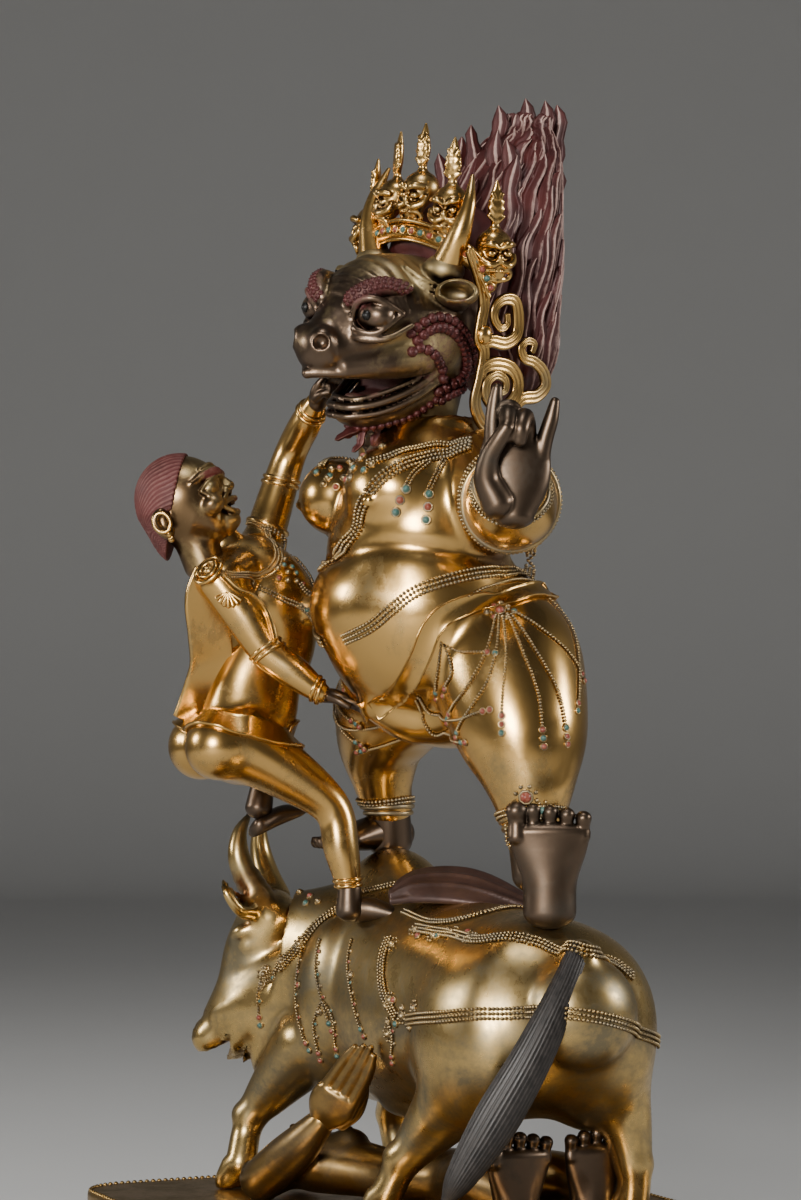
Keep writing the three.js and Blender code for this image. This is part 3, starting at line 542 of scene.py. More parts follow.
def band(lot, form, path, width, height):
    """A flat band on a form: a grid of path by width, settled on the skin and raised by the profile."""
    line = evenly(spline(path, len(path) * 12), 1.6)
    line, normals = form.settle(line, 2)
    side = unit(np.cross(normals, np.gradient(line, axis=0)))
    profile = np.array(BAND)
    grid = line[:, None] + side[:, None] * profile[None, :, :1] * width
    flat, up = form.settle(grid.reshape(-1, 3), 2)
    flat = flat + up * (np.tile(profile[:, 1], len(line)) * (height + 0.6) - 0.6)[:, None]
    grid = flat.reshape(len(line), len(profile), 3)
    low = grid[:, [0, -1]].mean(1, keepdims=True) - normals[:, None] * 1.2
    grid = np.concatenate([grid, low], 1)
    ends = [grid.mean(1, keepdims=True)[[0]].repeat(len(profile) + 1, 1), grid,
            grid.mean(1, keepdims=True)[[-1]].repeat(len(profile) + 1, 1)]
    grid = np.concatenate(ends, 0)
    faces = sheet_faces(len(grid), len(profile) + 1, round_columns=True)
    lot.add(grid.reshape(-1, 3), faces)


def stones(lot, form, places, radius, finish=1, fill=(2, 3), seed=0):
    """Round stones in raised rims, set square on the skin, in turns of coral and turquoise."""
    places, normals = form.settle(np.asarray(places, float), 3)
    trio = upright(normals)
    radius = radius * settings().stone_size
    lot.copies(COLLET, places, trio, radius, finish)
    kinds = (np.arange(len(places)) + seed) % len(fill)
    for k, number in enumerate(fill):
        here = kinds == k
        lot.copies(STONE, places[here], trio[here], radius, number)
    return places


# Materials
def node(tree, kind, inputs=None, **settings):
    """A node with its settings, and its inputs set to values or joined to sockets."""
    made = tree.nodes.new(kind)
    for key, value in settings.items():
        setattr(made, key, value)
    for key, value in (inputs or {}).items():
        if isinstance(value, bpy.types.NodeSocket):
            tree.links.new(value, made.inputs[key])
        else:
            made.inputs[key].default_value = value
    return made


def mixed(tree, factor, a, b, blend="MIX"):
    made = node(tree, "ShaderNodeMix", data_type="RGBA", blend_type=blend)
    for key, value in ((0, factor), (6, a), (7, b)):
        if isinstance(value, bpy.types.NodeSocket):
            tree.links.new(value, made.inputs[key])
        else:
            made.inputs[key].default_value = value if key == 0 else (*value[:3], 1)
    return made.outputs[2]


def maths(operation, tree, *values):
    made = node(tree, "ShaderNodeMath", operation=operation)
    for k, value in enumerate(values):
        if isinstance(value, bpy.types.NodeSocket):
            tree.links.new(value, made.inputs[k])
        else:
            made.inputs[k].default_value = value
    return made.outputs[0]


plus, less, times, larger = (partial(maths, kind) for kind in ("ADD", "SUBTRACT", "MULTIPLY", "MAXIMUM"))


def spread(tree, value, low, high, to_low=0.0, to_high=1.0):
    return node(tree, "ShaderNodeMapRange", {"Value": value, "From Min": low, "From Max": high,
                                             "To Min": to_low, "To Max": to_high}).outputs[0]


def noise(tree, vector, scale, detail=4.0, rough=0.55, distort=0.0):
    return node(tree, "ShaderNodeTexNoise", {"Vector": vector, "Scale": scale, "Detail": detail,
                                             "Roughness": rough, "Distortion": distort}).outputs[0]


def new_group(name, inputs, outputs):
    tree = bpy.data.node_groups.new(name, "ShaderNodeTree")
    for label, kind, value in inputs:
        socket = tree.interface.new_socket(label, in_out="INPUT", socket_type="NodeSocket" + kind)
        if value is not None:
            socket.default_value = (*value, 1) if kind == "Color" else value
    for label, kind in outputs:
        tree.interface.new_socket(label, in_out="OUTPUT", socket_type="NodeSocket" + kind)
    return tree, tree.nodes.new("NodeGroupInput").outputs, tree.nodes.new("NodeGroupOutput").inputs


def patina_and_shade_group():
    """Metal that shows bright where it is rubbed and dull in clouds, with fine scratches in its gloss, and
    painted shade towards the deep colour where the hollow value is high.
    """
    tree, given, out = new_group("Patina and shade", [
        ("Vector", "Vector", None), ("Bright", "Color", (0.8, 0.55, 0.2)), ("Dull", "Color",
                                                                            (0.4, 0.3, 0.15)),
        ("Deep", "Color", (0.2, 0.08, 0.03)), ("Hollow", "Float", 0.0), ("Cloud", "Float", 0.5),
        ("Gloss", "Float", 0.15), ("Rough", "Float", 0.4), ("Scale", "Float", 30.0), ("Worn", "Float", 0.0),
    ], [("Colour", "Color"), ("Roughness", "Float"), ("Height", "Float")])
    wide = noise(tree, given["Vector"], given["Scale"], 5.0, 0.62, 0.6)
    fine = noise(tree, given["Vector"], times(tree, given["Scale"], 9.0), 6.0, 0.7)
    both = plus(tree, times(tree, wide, 0.75), times(tree, fine, 0.25))
    edge = less(tree, 0.78, times(tree, given["Cloud"], 0.42))
    lifted = plus(tree, both, times(tree, given["Worn"], 0.35))
    dull = spread(tree, less(tree, lifted, edge), -0.08, 0.1)
    # Painted shade: the colour goes towards the deep colour where the place is shut in, as the hollow value
    # says.
    shut = spread(tree, plus(tree, given["Hollow"], times(tree, fine, 0.25)), 0.3, 1.05)
    colour = mixed(tree, dull, given["Bright"], given["Dull"])
    tree.links.new(mixed(tree, shut, colour, given["Deep"]), out["Colour"])
    gloss = plus(tree, given["Gloss"], times(tree, fine, 0.08))
    worn = larger(tree, dull, times(tree, shut, 0.6))
    rough = node(tree, "ShaderNodeMix", data_type="FLOAT")
    tree.links.new(worn, rough.inputs[0])
    tree.links.new(gloss, rough.inputs[2])
    tree.links.new(given["Rough"], rough.inputs[3])
    tree.links.new(rough.outputs[0], out["Roughness"])
    tree.links.new(plus(tree, times(tree, wide, 0.6), times(tree, fine, 0.4)),
                   out["Height"])


def dust_group():
    """Pale dust and dried polish that lie where an attribute says, broken up by a fine noise."""
    tree, given, out = new_group("Dust", [
        ("Vector", "Vector", None), ("Colour", "Color", (0.5, 0.4, 0.2)), ("Roughness", "Float", 0.3),
        ("Dust", "Color", (0.45, 0.42, 0.34)), ("Amount", "Float", 0.0),
    ], [("Colour", "Color"), ("Roughness", "Float"), ("Metal", "Float")])
    grit = noise(tree, given["Vector"], 420.0, 5.0, 0.65)
    mask = spread(tree, plus(tree, given["Amount"], less(tree, grit, 0.5)), 0.4, 1.25, 0.0, 0.6)
    tree.links.new(mixed(tree, mask, given["Colour"], given["Dust"]), out["Colour"])
    tree.links.new(plus(tree, given["Roughness"], times(tree, mask, 0.45)), out["Roughness"])
    tree.links.new(less(tree, 1.0, times(tree, mask, 0.75)), out["Metal"])


def attribute(tree, name):
    return node(tree, "ShaderNodeAttribute", attribute_name=name).outputs["Fac"]


def bare(name):
    material = bpy.data.materials.new(name)
    material.use_nodes = True
    tree = material.node_tree
    tree.nodes.clear()
    shader = tree.nodes.new("ShaderNodeBsdfPrincipled")
    out = tree.nodes.new("ShaderNodeOutputMaterial")
    tree.links.new(shader.outputs[0], out.inputs[0])
    place = tree.nodes.new("ShaderNodeTexCoord").outputs["Object"]
    return tree, shader, place


def bump(tree, shader, height, strength, distance):
    made = node(tree, "ShaderNodeBump", {"Height": height, "Strength": strength, "Distance": distance})
    tree.links.new(made.outputs[0], shader.inputs["Normal"])


def metal(name, bright, dull, deep, gloss, rough, cloud=0.5, scale=30.0, dust=(0.42, 0.4, 0.33), pit=0.15,
          paint=None, paint_worn=None):
    """Gilding or dark bronze: patina, painted shade in the hollows, dust by the cords, and red pigment where
    the piece says.
    """
    tree, shader, place = bare(name)
    hollow = attribute(tree, "hollow")
    patina_and_shade = node(tree, "ShaderNodeGroup", node_tree=bpy.data.node_groups["Patina and shade"])
    for key, value in (("Bright", bright), ("Dull", dull), ("Deep", deep)):
        patina_and_shade.inputs[key].default_value = (*value, 1)
    for key, value in (("Cloud", cloud), ("Gloss", gloss), ("Rough", rough), ("Scale", scale)):
        patina_and_shade.inputs[key].default_value = value
    tree.links.new(place, patina_and_shade.inputs["Vector"])
    tree.links.new(hollow, patina_and_shade.inputs["Hollow"])
    tree.links.new(attribute(tree, "worn"), patina_and_shade.inputs["Worn"])
    dusty = node(tree, "ShaderNodeGroup", node_tree=bpy.data.node_groups["Dust"])
    dusty.inputs["Dust"].default_value = (*dust, 1)
    tree.links.new(place, dusty.inputs["Vector"])
    tree.links.new(patina_and_shade.outputs["Colour"], dusty.inputs["Colour"])
    tree.links.new(patina_and_shade.outputs["Roughness"], dusty.inputs["Roughness"])
    tree.links.new(attribute(tree, "dust"), dusty.inputs["Amount"])
    colour, roughness, shine = (dusty.outputs[k] for k in ("Colour", "Roughness", "Metal"))
    if paint:
        grain = noise(tree, place, 300.0, 5.0, 0.7)
        tint = attribute(tree, "tint")
        laid = spread(tree, plus(tree, tint, less(tree, grain, 0.5)), 0.35, 0.6)
        rubbed = spread(tree, less(tree, grain, hollow), 0.35, 0.75)
        colour = mixed(tree, laid, colour, mixed(tree, rubbed, paint, paint_worn))
        roughness = plus(tree, roughness, times(tree, laid, 0.25))
        shine = less(tree, shine, times(tree, laid, 0.8))
        shine = larger(tree, shine, 0.0)
    tree.links.new(colour, shader.inputs["Base Color"])
    tree.links.new(roughness, shader.inputs["Roughness"])
    tree.links.new(shine, shader.inputs["Metallic"])
    bump(tree, shader, patina_and_shade.outputs["Height"], pit, 0.0004)


def pigment(name, colour, worn, rough=0.55, shine=0.25):
    """Red pigment over bronze, pale on its ridges, which the ridge attribute marks: rubbed pigment, with a
    painted highlight on the ridges.
    """
    tree, shader, place = bare(name)
    grain = noise(tree, place, 260.0, 6.0, 0.7)
    cloud = noise(tree, place, 40.0, 4.0, 0.6)
    rub_and_highlight = plus(tree, attribute(tree, "ridge"), times(tree, less(tree, grain, 0.5), 0.9))
    mask = spread(tree, rub_and_highlight, 0.45, 0.95)
    deep = spread(tree, cloud, 0.35, 0.65)
    base = mixed(tree, deep, [c * 0.55 for c in colour], colour)
    tree.links.new(mixed(tree, mask, base, worn), shader.inputs["Base Color"])
    tree.links.new(spread(tree, grain, 0.2, 0.8, rough - 0.12, rough + 0.15), shader.inputs["Roughness"])
    shader.inputs["Metallic"].default_value = shine
    bump(tree, shader, grain, 0.25, 0.0004)


def stone_finish(name, colour, vein):
    tree, shader, place = bare(name)
    cloud = noise(tree, place, 500.0, 4.0, 0.6)
    tree.links.new(mixed(tree, spread(tree, cloud, 0.4, 0.7), colour, vein), shader.inputs["Base Color"])
    tree.links.new(spread(tree, cloud, 0.2, 0.8, 0.25, 0.5), shader.inputs["Roughness"])


def plain_finish(name, colour, rough):
    tree, shader, place = bare(name)
    cloud = noise(tree, place, 6.0, 3.0, 0.5)
    low = [c * 0.97 for c in colour]
    tree.links.new(mixed(tree, cloud, low, colour), shader.inputs["Base Color"])
    shader.inputs["Roughness"].default_value = rough


# The buffalo, from rump to neck
BUFFALO_TRUNK = [
    (122, 32, 170, 30, 30), (98, 33, 167, 53, 48), (64, 31, 164, 58, 55), (20, 25, 161, 56, 58),
    (-30, 19, 163, 54, 61), (-72, 12, 168, 49, 64), (-102, -4, 170, 37, 54),
]
BUFFALO_BACK = [(-104, 4, 214, 14, 16), (-76, 16, 227, 22, 22), (-46, 20, 213, 23, 22), (0, 24, 200, 24, 23),
                (44, 28, 194, 24, 23)]
BUFFALO_NECK = [(-84, 2, 176, 36, 52), (-108, -20, 172, 27, 52), (-122, -36, 164, 17, 50),
                (-127, -42, 174, 12, 34)]
BUFFALO_FACE = [(-134, -36, 208, 16, 18), (-140, -44, 189, 16, 18), (-145, -51, 166, 12.5, 15),
                (-152, -59, 147, 11.5, 13)]
BUFFALO_JAW = [(-132, -34, 172, 12, 10), (-137, -40, 146, 9, 8), (-142, -47, 128, 7.5, 5)]
BUFFALO_LEGS = [
    [(90, 66, 138, 22), (96, 73, 106, 14), (99, 76, 82, 9.5), (97, 76, 66, 9)],
    [(70, -2, 136, 26), (46, -17, 106, 16), (34, -30, 84, 9.5), (28, -37, 66, 9)],
    [(-94, -28, 136, 22), (-116, -44, 108, 14), (-124, -54, 90, 9), (-118, -62, 66, 9)],
    [(-96, 30, 135, 20), (-116, 36, 104, 12), (-124, 38, 86, 9), (-119, 40, 66, 9)],
]
BUFFALO_HORN = [(-131, -44, 218, 8.5), (-133, -51, 229, 8), (-134, -57, 243, 6.6), (-135.5, -56, 257, 4.4),
                (-135, -49.5, 269, 1.2)]
BUFFALO_EAR = [(-132, -43, 204, 5, 4), (-126, -50, 210, 5, 4), (-122, -60, 216, 8.5, 4),
               (-121, -68, 223, 6.5, 3), (-121, -73, 230, 1.5, 1)]
POLL = np.array([-142, -34.5, 208])
FACE_ACROSS = np.array([-0.76, 0.65, 0.0])
FACE_AHEAD = np.array([-0.65, -0.76, 0.0])


def far_side(stations):
    """The same stations mirrored in the plane between the horns."""
    rows = [np.array(s, float) for s in stations]
    for row in rows:
        row[:3] -= 2 * ((row[:3] - POLL) @ FACE_ACROSS) * FACE_ACROSS
    return [tuple(row) for row in rows]


def buffalo_form():
    """Trunk, neck, head and legs as limbs and balls with soft joins, the mouth, eyes and nostrils cut in."""
    form = Form()
    form.add(Limb(BUFFALO_TRUNK, fine=9))
    form.add(Limb(BUFFALO_BACK), 16).add(Limb(BUFFALO_NECK), 12)
    form.add(Ball((66, -1, 152), (47, 32, 50), (4, 0, 0)), 6)
    form.add(Ball((80, 60, 152), (44, 31, 50)), 18)
    form.add(Ball((-74, -19, 160), (30, 25, 52), (-8, 8, 0)), 2.5).add(Ball((-78, 40, 160), (30, 20, 50)), 8)
    form.add(Limb([(-40, 19, 108, 26, 10), (20, 24, 106, 30, 10)]), 14)
    for legs in BUFFALO_LEGS:
        form.add(Limb(legs, up=(1, 0, 0)), 8)
        form.add(Ball(np.array(legs[2][:3]) + [0, 0, 4], (10.5, 10.5, 9)), 4)
        x, y = legs[3][:2]
        for side in (-1, 1):
            form.add(Limb([(x - 2, y + side * 4.5, 68, 6, 5), (x - 5, y + side * 5, 58, 8.5, 6),
                           (x - 9, y + side * 4.5, 54, 7, 4.5)],
                          up=(1, 0, 0)), 1)
    form.add(Limb(BUFFALO_FACE, up=FACE_AHEAD), 6).add(Ball(POLL, (17, 17, 16)), 8)
    form.add(Ball((-156, -65, 137), (12, 12.5, 12), (40, 0, 0)), 5)
    form.add(Limb(BUFFALO_JAW, up=FACE_AHEAD), 5)
    for stations in (BUFFALO_EAR, far_side(BUFFALO_EAR)):
        form.add(Limb(stations, up=FACE_AHEAD), 3)
    form.cut(Limb([(-123.5, -55.5, 217, 4.5, 2.4), (-122.5, -62, 221, 5.5, 2.6), (-122.5, -69, 227, 1.5, 1)],
                  up=FACE_AHEAD, cap=0.5), 1.5)
    for side in (-1, 1):
        across = FACE_ACROSS * side
        eye = np.array([-141, -45, 191.5]) + across * 13
        brow = [(*(eye + [2, 2, 9]), 4), (*(eye + across * 2 + FACE_AHEAD * 2 + [0, 0, 8]), 4.5),
                (*(eye + FACE_AHEAD * 8 + [0, 0, 5]), 3)]
        form.add(Limb(brow), 3)
        form.cut(Ball(eye + across * 2, (6.5, 5, 5)), 2).add(Ball(eye, (6, 5, 4.6)), 0.6)
        nostril = np.array([-163, -72.5, 141]) + across * 5.5
        form.cut(Ball(nostril, (3, 3, 3.6)), 1.5)
    form.cut(Limb([(-134, -38, 139, 13, 1.6), (-146, -51, 133, 13, 3.2), (-160, -66, 124, 13, 5)],
                  up=(0, 0, 1)), 1.2)
    form.add(Limb([(-134, -42, 132, 6, 3), (-143, -52, 127, 5, 2.4), (-148, -58, 125, 3, 1.6)],
                  up=(0, 0, 1)), 1)
    form.add(Ball((125, 30, 200), (9, 9, 8)), 10)
    for k in range(3):
        at = spline(BUFFALO_HORN, 40)[4 + 4 * k]
        form.add(Ball(at[:3], (9.2 - 0.3 * k, 9.2 - 0.3 * k, 2.0), (0, 0, 20)), 1)
    for stations in (BUFFALO_HORN, far_side(BUFFALO_HORN)):
        form.add(Limb(stations, up=FACE_ACROSS), 1.5)
    return form.cut(Half((0, 0, PLINTH_TOP + 0.4), (0, 0, -1)), 0.3)


# The switch of hair on the haunch, the hide and the lying figure
TAIL = [(127, 29, 203, 6.5, 5), (134, 14, 180, 8.5, 6), (134, -4, 148, 11, 7), (128, -22, 116, 12, 7),
        (121, -38, 88, 8, 5),
        (118, -45, 76, 2.5, 2)]
HIDE = [(-22, -10, 224, 5, 3), (-14, 2, 230, 13, 4.5), (6, 24, 230, 15, 4), (26, 46, 221, 9, 3),
        (34, 60, 214, 3.5, 1.6)]
FALLEN_TORSO = [(-82, -38, 71, 21, 15), (-66, -30, 72, 23, 17), (-30, -6, 68, 16, 13), (2, 14, 70, 23, 16),
                (22, 26, 68, 20, 15)]
FALLEN_LEGS = [[(12, 12, 70, 16, 15), (52, 8, 74, 14, 14), (80, 13, 70, 10, 11)],
               [(12, 36, 70, 16, 15), (52, 56, 74, 14, 14), (80, 59, 70, 10, 11)]]
FALLEN_RIGHT_ARM = [(-80, -46, 70, 12), (-76, -65, 64, 12), (-59, -60, 76, 12.5), (-44, -54, 88, 11),
                    (-33, -47, 101, 7.5)]
FALLEN_LEFT_ARM = [(-66, -14, 74, 11), (-40, 18, 65, 10), (-4, 44, 62, 7)]


def lying_form():
    """A figure on its back: trunk, legs, arms and head as limbs and balls, cut flat on the plinth."""
    form = Form().add(Limb(FALLEN_TORSO))
    for centre in ((-72, -44, 82), (-58, -20, 82)):
        form.add(Ball(centre, (12, 12, 10)), 4).add(Ball(np.array(centre) + [0, 0, 10], 2), 1)
    for stations in FALLEN_LEGS:
        form.add(Limb(stations, up=(0, 0, 1)), 6)
    form.add(Limb([(-96, -34, 70, 9), (-84, -36, 71, 11)]), 4)
    form.add(Limb(FALLEN_RIGHT_ARM, up=(1, 0, 0)), 5).add(Limb(FALLEN_LEFT_ARM), 5)
    form.add(Ball((-101, -32, 70), (17, 15.5, 16.5)), 3).add(Limb([(-98, -36, 86, 2), (-101, -36, 88, 2.6),
                                                                   (-104, -35, 85, 2)]), 2)
    return form.cut(Half((0, 0, PLINTH_TOP + 0.4), (0, 0, -1)), 0.3)


# The guardian: trunk stations run up, half widths across and half depths front to back
YAMA_TRUNK = [(8, 18, 334, 36, 33), (6, 12, 352, 53, 51), (4, -2, 384, 61, 59), (5, -7, 414, 56, 50),
              (6, -4, 446, 54, 43),
              (6, 0, 468, 40, 33), (6, 4, 482, 27, 25)]
CHEST_FOLD = [(322, 560), (346, 553), (375, 547), (410, 547), (445, 552), (480, 557), (520, 560)]
YAMA_LEFT_LEG = [(32, 30, 368, 38), (50, 26, 348, 42), (71, 25, 312, 35), (81, 24, 286, 24),
                 (84, 23.5, 262, 14.5)]
YAMA_RIGHT_LEG = [(-20, 18, 352, 40), (-50, 8, 336, 36), (-74, 8, 312, 27), (-84, 13, 288, 18),
                  (-87, 18, 272, 14)]
YAMA_LEFT_ARM = [(44, 16, 454, 28), (71, 15, 441, 28), (92, 6, 436, 23), (102, 1, 438, 23),
                 (110, -3, 441, 20)]
YAMA_RIGHT_ARM = [(-34, 12, 452, 26), (-66, 20, 450, 24), (-92, 26, 462, 19), (-101, 22, 482, 16),
                  (-104, 20, 500, 11.5)]


def guardian_form():
    """Trunk, belly, breasts, legs and arms as limbs and balls with soft joins, with the fold of the chest."""
    form = Form().add(Limb(YAMA_TRUNK, up=(0, 1, 0), fine=9))
    form.add(Ball((2, -25, 386), (50, 40, 38)), 4)
    form.add(Ball((22, -27, 447), (31, 30, 27)), 9).add(Ball((-29, -38, 447), (23, 24, 22)), 6)
    form.add(Ball((-36.5, -59, 443), (3, 3.4, 3)), 1.5).add(Ball((40, -53, 440), (3, 3.4, 3)), 1.5)
    for stations in (YAMA_LEFT_LEG, YAMA_RIGHT_LEG):
        form.add(Limb(stations, up=(0, 1, 0)), 9)
    form.add(Ball((10, 36, 356), (46, 34, 30)), 12)
    form.add(Limb([(0, -30, 332, 13, 10), (4, -6, 320, 16, 11), (8, 26, 330, 14, 12)]), 8)
    form.add(Limb(YAMA_LEFT_ARM), 7).add(Limb(YAMA_RIGHT_ARM), 7)
    form.add(Ball((98, 8, 432), (20, 20, 18)), 4)
    form.cut(Ball((6, 2, 504), (34, 32, 20)), 1)
    fold = struck(form, CHEST_FOLD)
    return form.cut(Limb([(*place, 2.6) for place in fold]), 9)


# Hands and feet in their own frames
def foot_form(place, side, length, breadth):
    """Sole down, toes towards -Y, big toe on the side given: heel, ball, arch and five jointed toes."""
    form = Form(place)
    form.add(Limb([(0, 0.36 * length, 0.17 * length, 0.6 * breadth, 0.17 * length),
                   (0, 0.1 * length, 0.18 * length, 0.62 * breadth, 0.18 * length),
                   (0, -0.16 * length, 0.14 * length, 0.82 * breadth, 0.14 * length),
                   (0, -0.34 * length, 0.1 * length, 0.92 * breadth, 0.1 * length)], cap=0.9))
    form.cut(Ball((side * breadth * 0.7, 0.02 * length, -0.02 * length),
                  (0.42 * breadth, 0.2 * length, 0.07 * length)), 3)
    for k in range(5):
        x = side * breadth * (-0.74 + 0.37 * k)
        r = (0.25 if k == 0 else 0.185) * breadth
        tip = -0.53 + (0.0, -0.005, 0.012, 0.035, 0.065)[k]
        form.add(Limb([(x, -0.3 * length, 0.1 * length, r * 0.9),
                       (x, (tip + 0.09) * length, 0.105 * length, r * 0.82),
                       (x * 1.02, tip * length, 0.085 * length, r)], cap=0.9), 1.2)
        form.add(Ball((x * 1.02, (tip - 0.005) * length, 0.085 * length + r * 0.75),
                      (r * 0.62, r * 0.8, r * 0.3)), 0.4)
    return form


def hand_form(place, palm, fingers, soft=1.6):
    """Fingers along +Z, thumb towards +X, palm towards +Y; a finger is a list of x, y, z and radius."""
    wide, thick, long = palm
    form = Form(place)
    form.add(Limb([(0, 0, -0.1 * long, wide * 0.55, thick * 1.05), (0, -1, 0.5 * long, wide * 0.92, thick),
                   (0, -1, 1.0 * long, wide, thick * 0.85), (-0.5, -1, 1.4 * long, wide * 0.9,
                                                             thick * 0.7)], up=(0, 1, 0)))
    for finger in fingers:
        form.add(Limb(finger, up=(0, 1, 0.02), cap=0.9), soft)
        x, y, z, r = finger[-1]
        back = unit(np.array(finger[-1][:3]) - np.array(finger[-2][:3]))
        out = np.cross(back, [1, 0, 0])
        form.add(Ball(np.array([x, y, z]) + out * r * 0.75 * (1 if out[1] < 0 else -1),
                      (r * 0.6, r * 0.35, r * 0.8)), 0.5)
    return form


THREAT_PALM = (19, 8, 25)
THREAT_FINGERS = [
    [(11, 0, 34, 5), (11, 1, 46, 4.6), (10, 2, 57, 4.0), (9, 3, 64, 2.8)],
    [(3, -1, 34, 5), (3, 1, 46, 4.8), (3.5, 8, 50, 4.5), (4, 13, 44, 4.4), (4, 12, 38, 4)],
    [(-6, -1, 33, 5), (-6.5, 1, 44, 4.8), (-5, 8, 48, 4.5), (-3, 13, 42, 4.4), (-2, 12, 36, 4)],
    [(-14, -1, 29, 4.6), (-16, 0, 38, 4.3), (-19, 1, 48, 3.9), (-21, 2, 57, 2.6)],
    [(9, 4, 4, 9), (14.5, 6, 16, 7), (13.5, 10, 27, 5.2), (8.5, 13.5, 36, 4.5), (4.5, 15.5, 42, 3.8)],
]
FIST_FINGERS = [[(10.5 - 7 * k, 0, 20, 5), (10 - 6.6 * k, 3, 28, 5), (9.5 - 6.5 * k, 10, 29, 4.7),
                 (9 - 6.3 * k, 13, 22, 4.5),
                 (9 - 6.3 * k, 9, 16, 4.2)] for k in range(4)]
FIST_FINGERS += [[(11, 3, 5, 7), (14, 10, 12, 5.8), (9, 16, 18, 5), (1, 17, 20, 4.4)]]
LONG_FINGERS = [[(10 - 6 * k, 0, 13, 4.4), (9.6 - 5.6 * k, 1, 26, 3.9), (8.4 - 4.9 * k, 1.5, 42, 3.3),
                 (6.4 - 3.9 * k, 1.5, 57 - 3.4 * abs(k - 1.2), 1.8)] for k in range(4)]
LONG_FINGERS += [[(9, 3, 4, 5), (13, 5, 13, 4), (12, 6, 23, 3.3), (10, 6, 30, 2.4)]]
GRIP_FINGERS = [[(4.6 - 3.3 * k, 0, 8, 2.2), (4.4 - 3.1 * k, 2.5, 13, 2.1), (4.2 - 3 * k, 6, 12, 1.9),
                 (4 - 3 * k, 6.5, 8.5, 1.7)]
                for k in range(4)]
GRIP_FINGERS += [[(5, 1, 3, 2.6), (6.5, 4, 8, 2.2), (5, 7, 11, 1.8)]]
OPEN_FINGERS = [[(4.6 - 3.2 * k, 0, 8, 2.2), (4.6 - 3.1 * k, 0.6, 15, 2.0), (4 - 2.9 * k, 1.8, 21, 1.8),
                 (3.2 - 2.6 * k, 3, 26 - 1.2 * abs(k - 1.4), 1.3)] for k in range(4)]
OPEN_FINGERS += [[(5, 1, 3, 2.6), (7.5, 2.5, 9, 2.1), (7.5, 4, 14.5, 1.7)]]


# The bull's head, in its own frame: it looks along -Y, its left is +X
HEAD_PLACE = turned((5, -18, 538), 18, 11, 6)
HAIR_PLACE = turned((5, -18, 538), 18, 6, 0)
BULL_HORN = [(27.5, 5, 34, 9.6), (32.5, 6, 45, 8), (37, 7.5, 58, 6), (38, 11.5, 73, 3.9), (34, 17, 88.5, 1.0)]


def mirrored(stations):
    """The same stations on the other side of the head."""
    return [(-s[0], *s[1:]) for s in stations]


def both(form, stations, soft=2.0, cut=False, **settings):
    """A limb and its mirror image."""
    for rows in (stations, mirrored(stations)):
        (form.cut if cut else form.add)(Limb(rows, **settings), soft)
    return form


def both_balls(form, centre, size, soft=2.0, cut=False, turn=(0, 0, 0)):
    """A ball and its mirror image."""
    for side in (1, -1):
        place = (side * centre[0], *centre[1:])
        ball = Ball(place, size, (side * turn[0], side * turn[1], turn[2]))
        (form.cut if cut else form.add)(ball, soft)
    return form


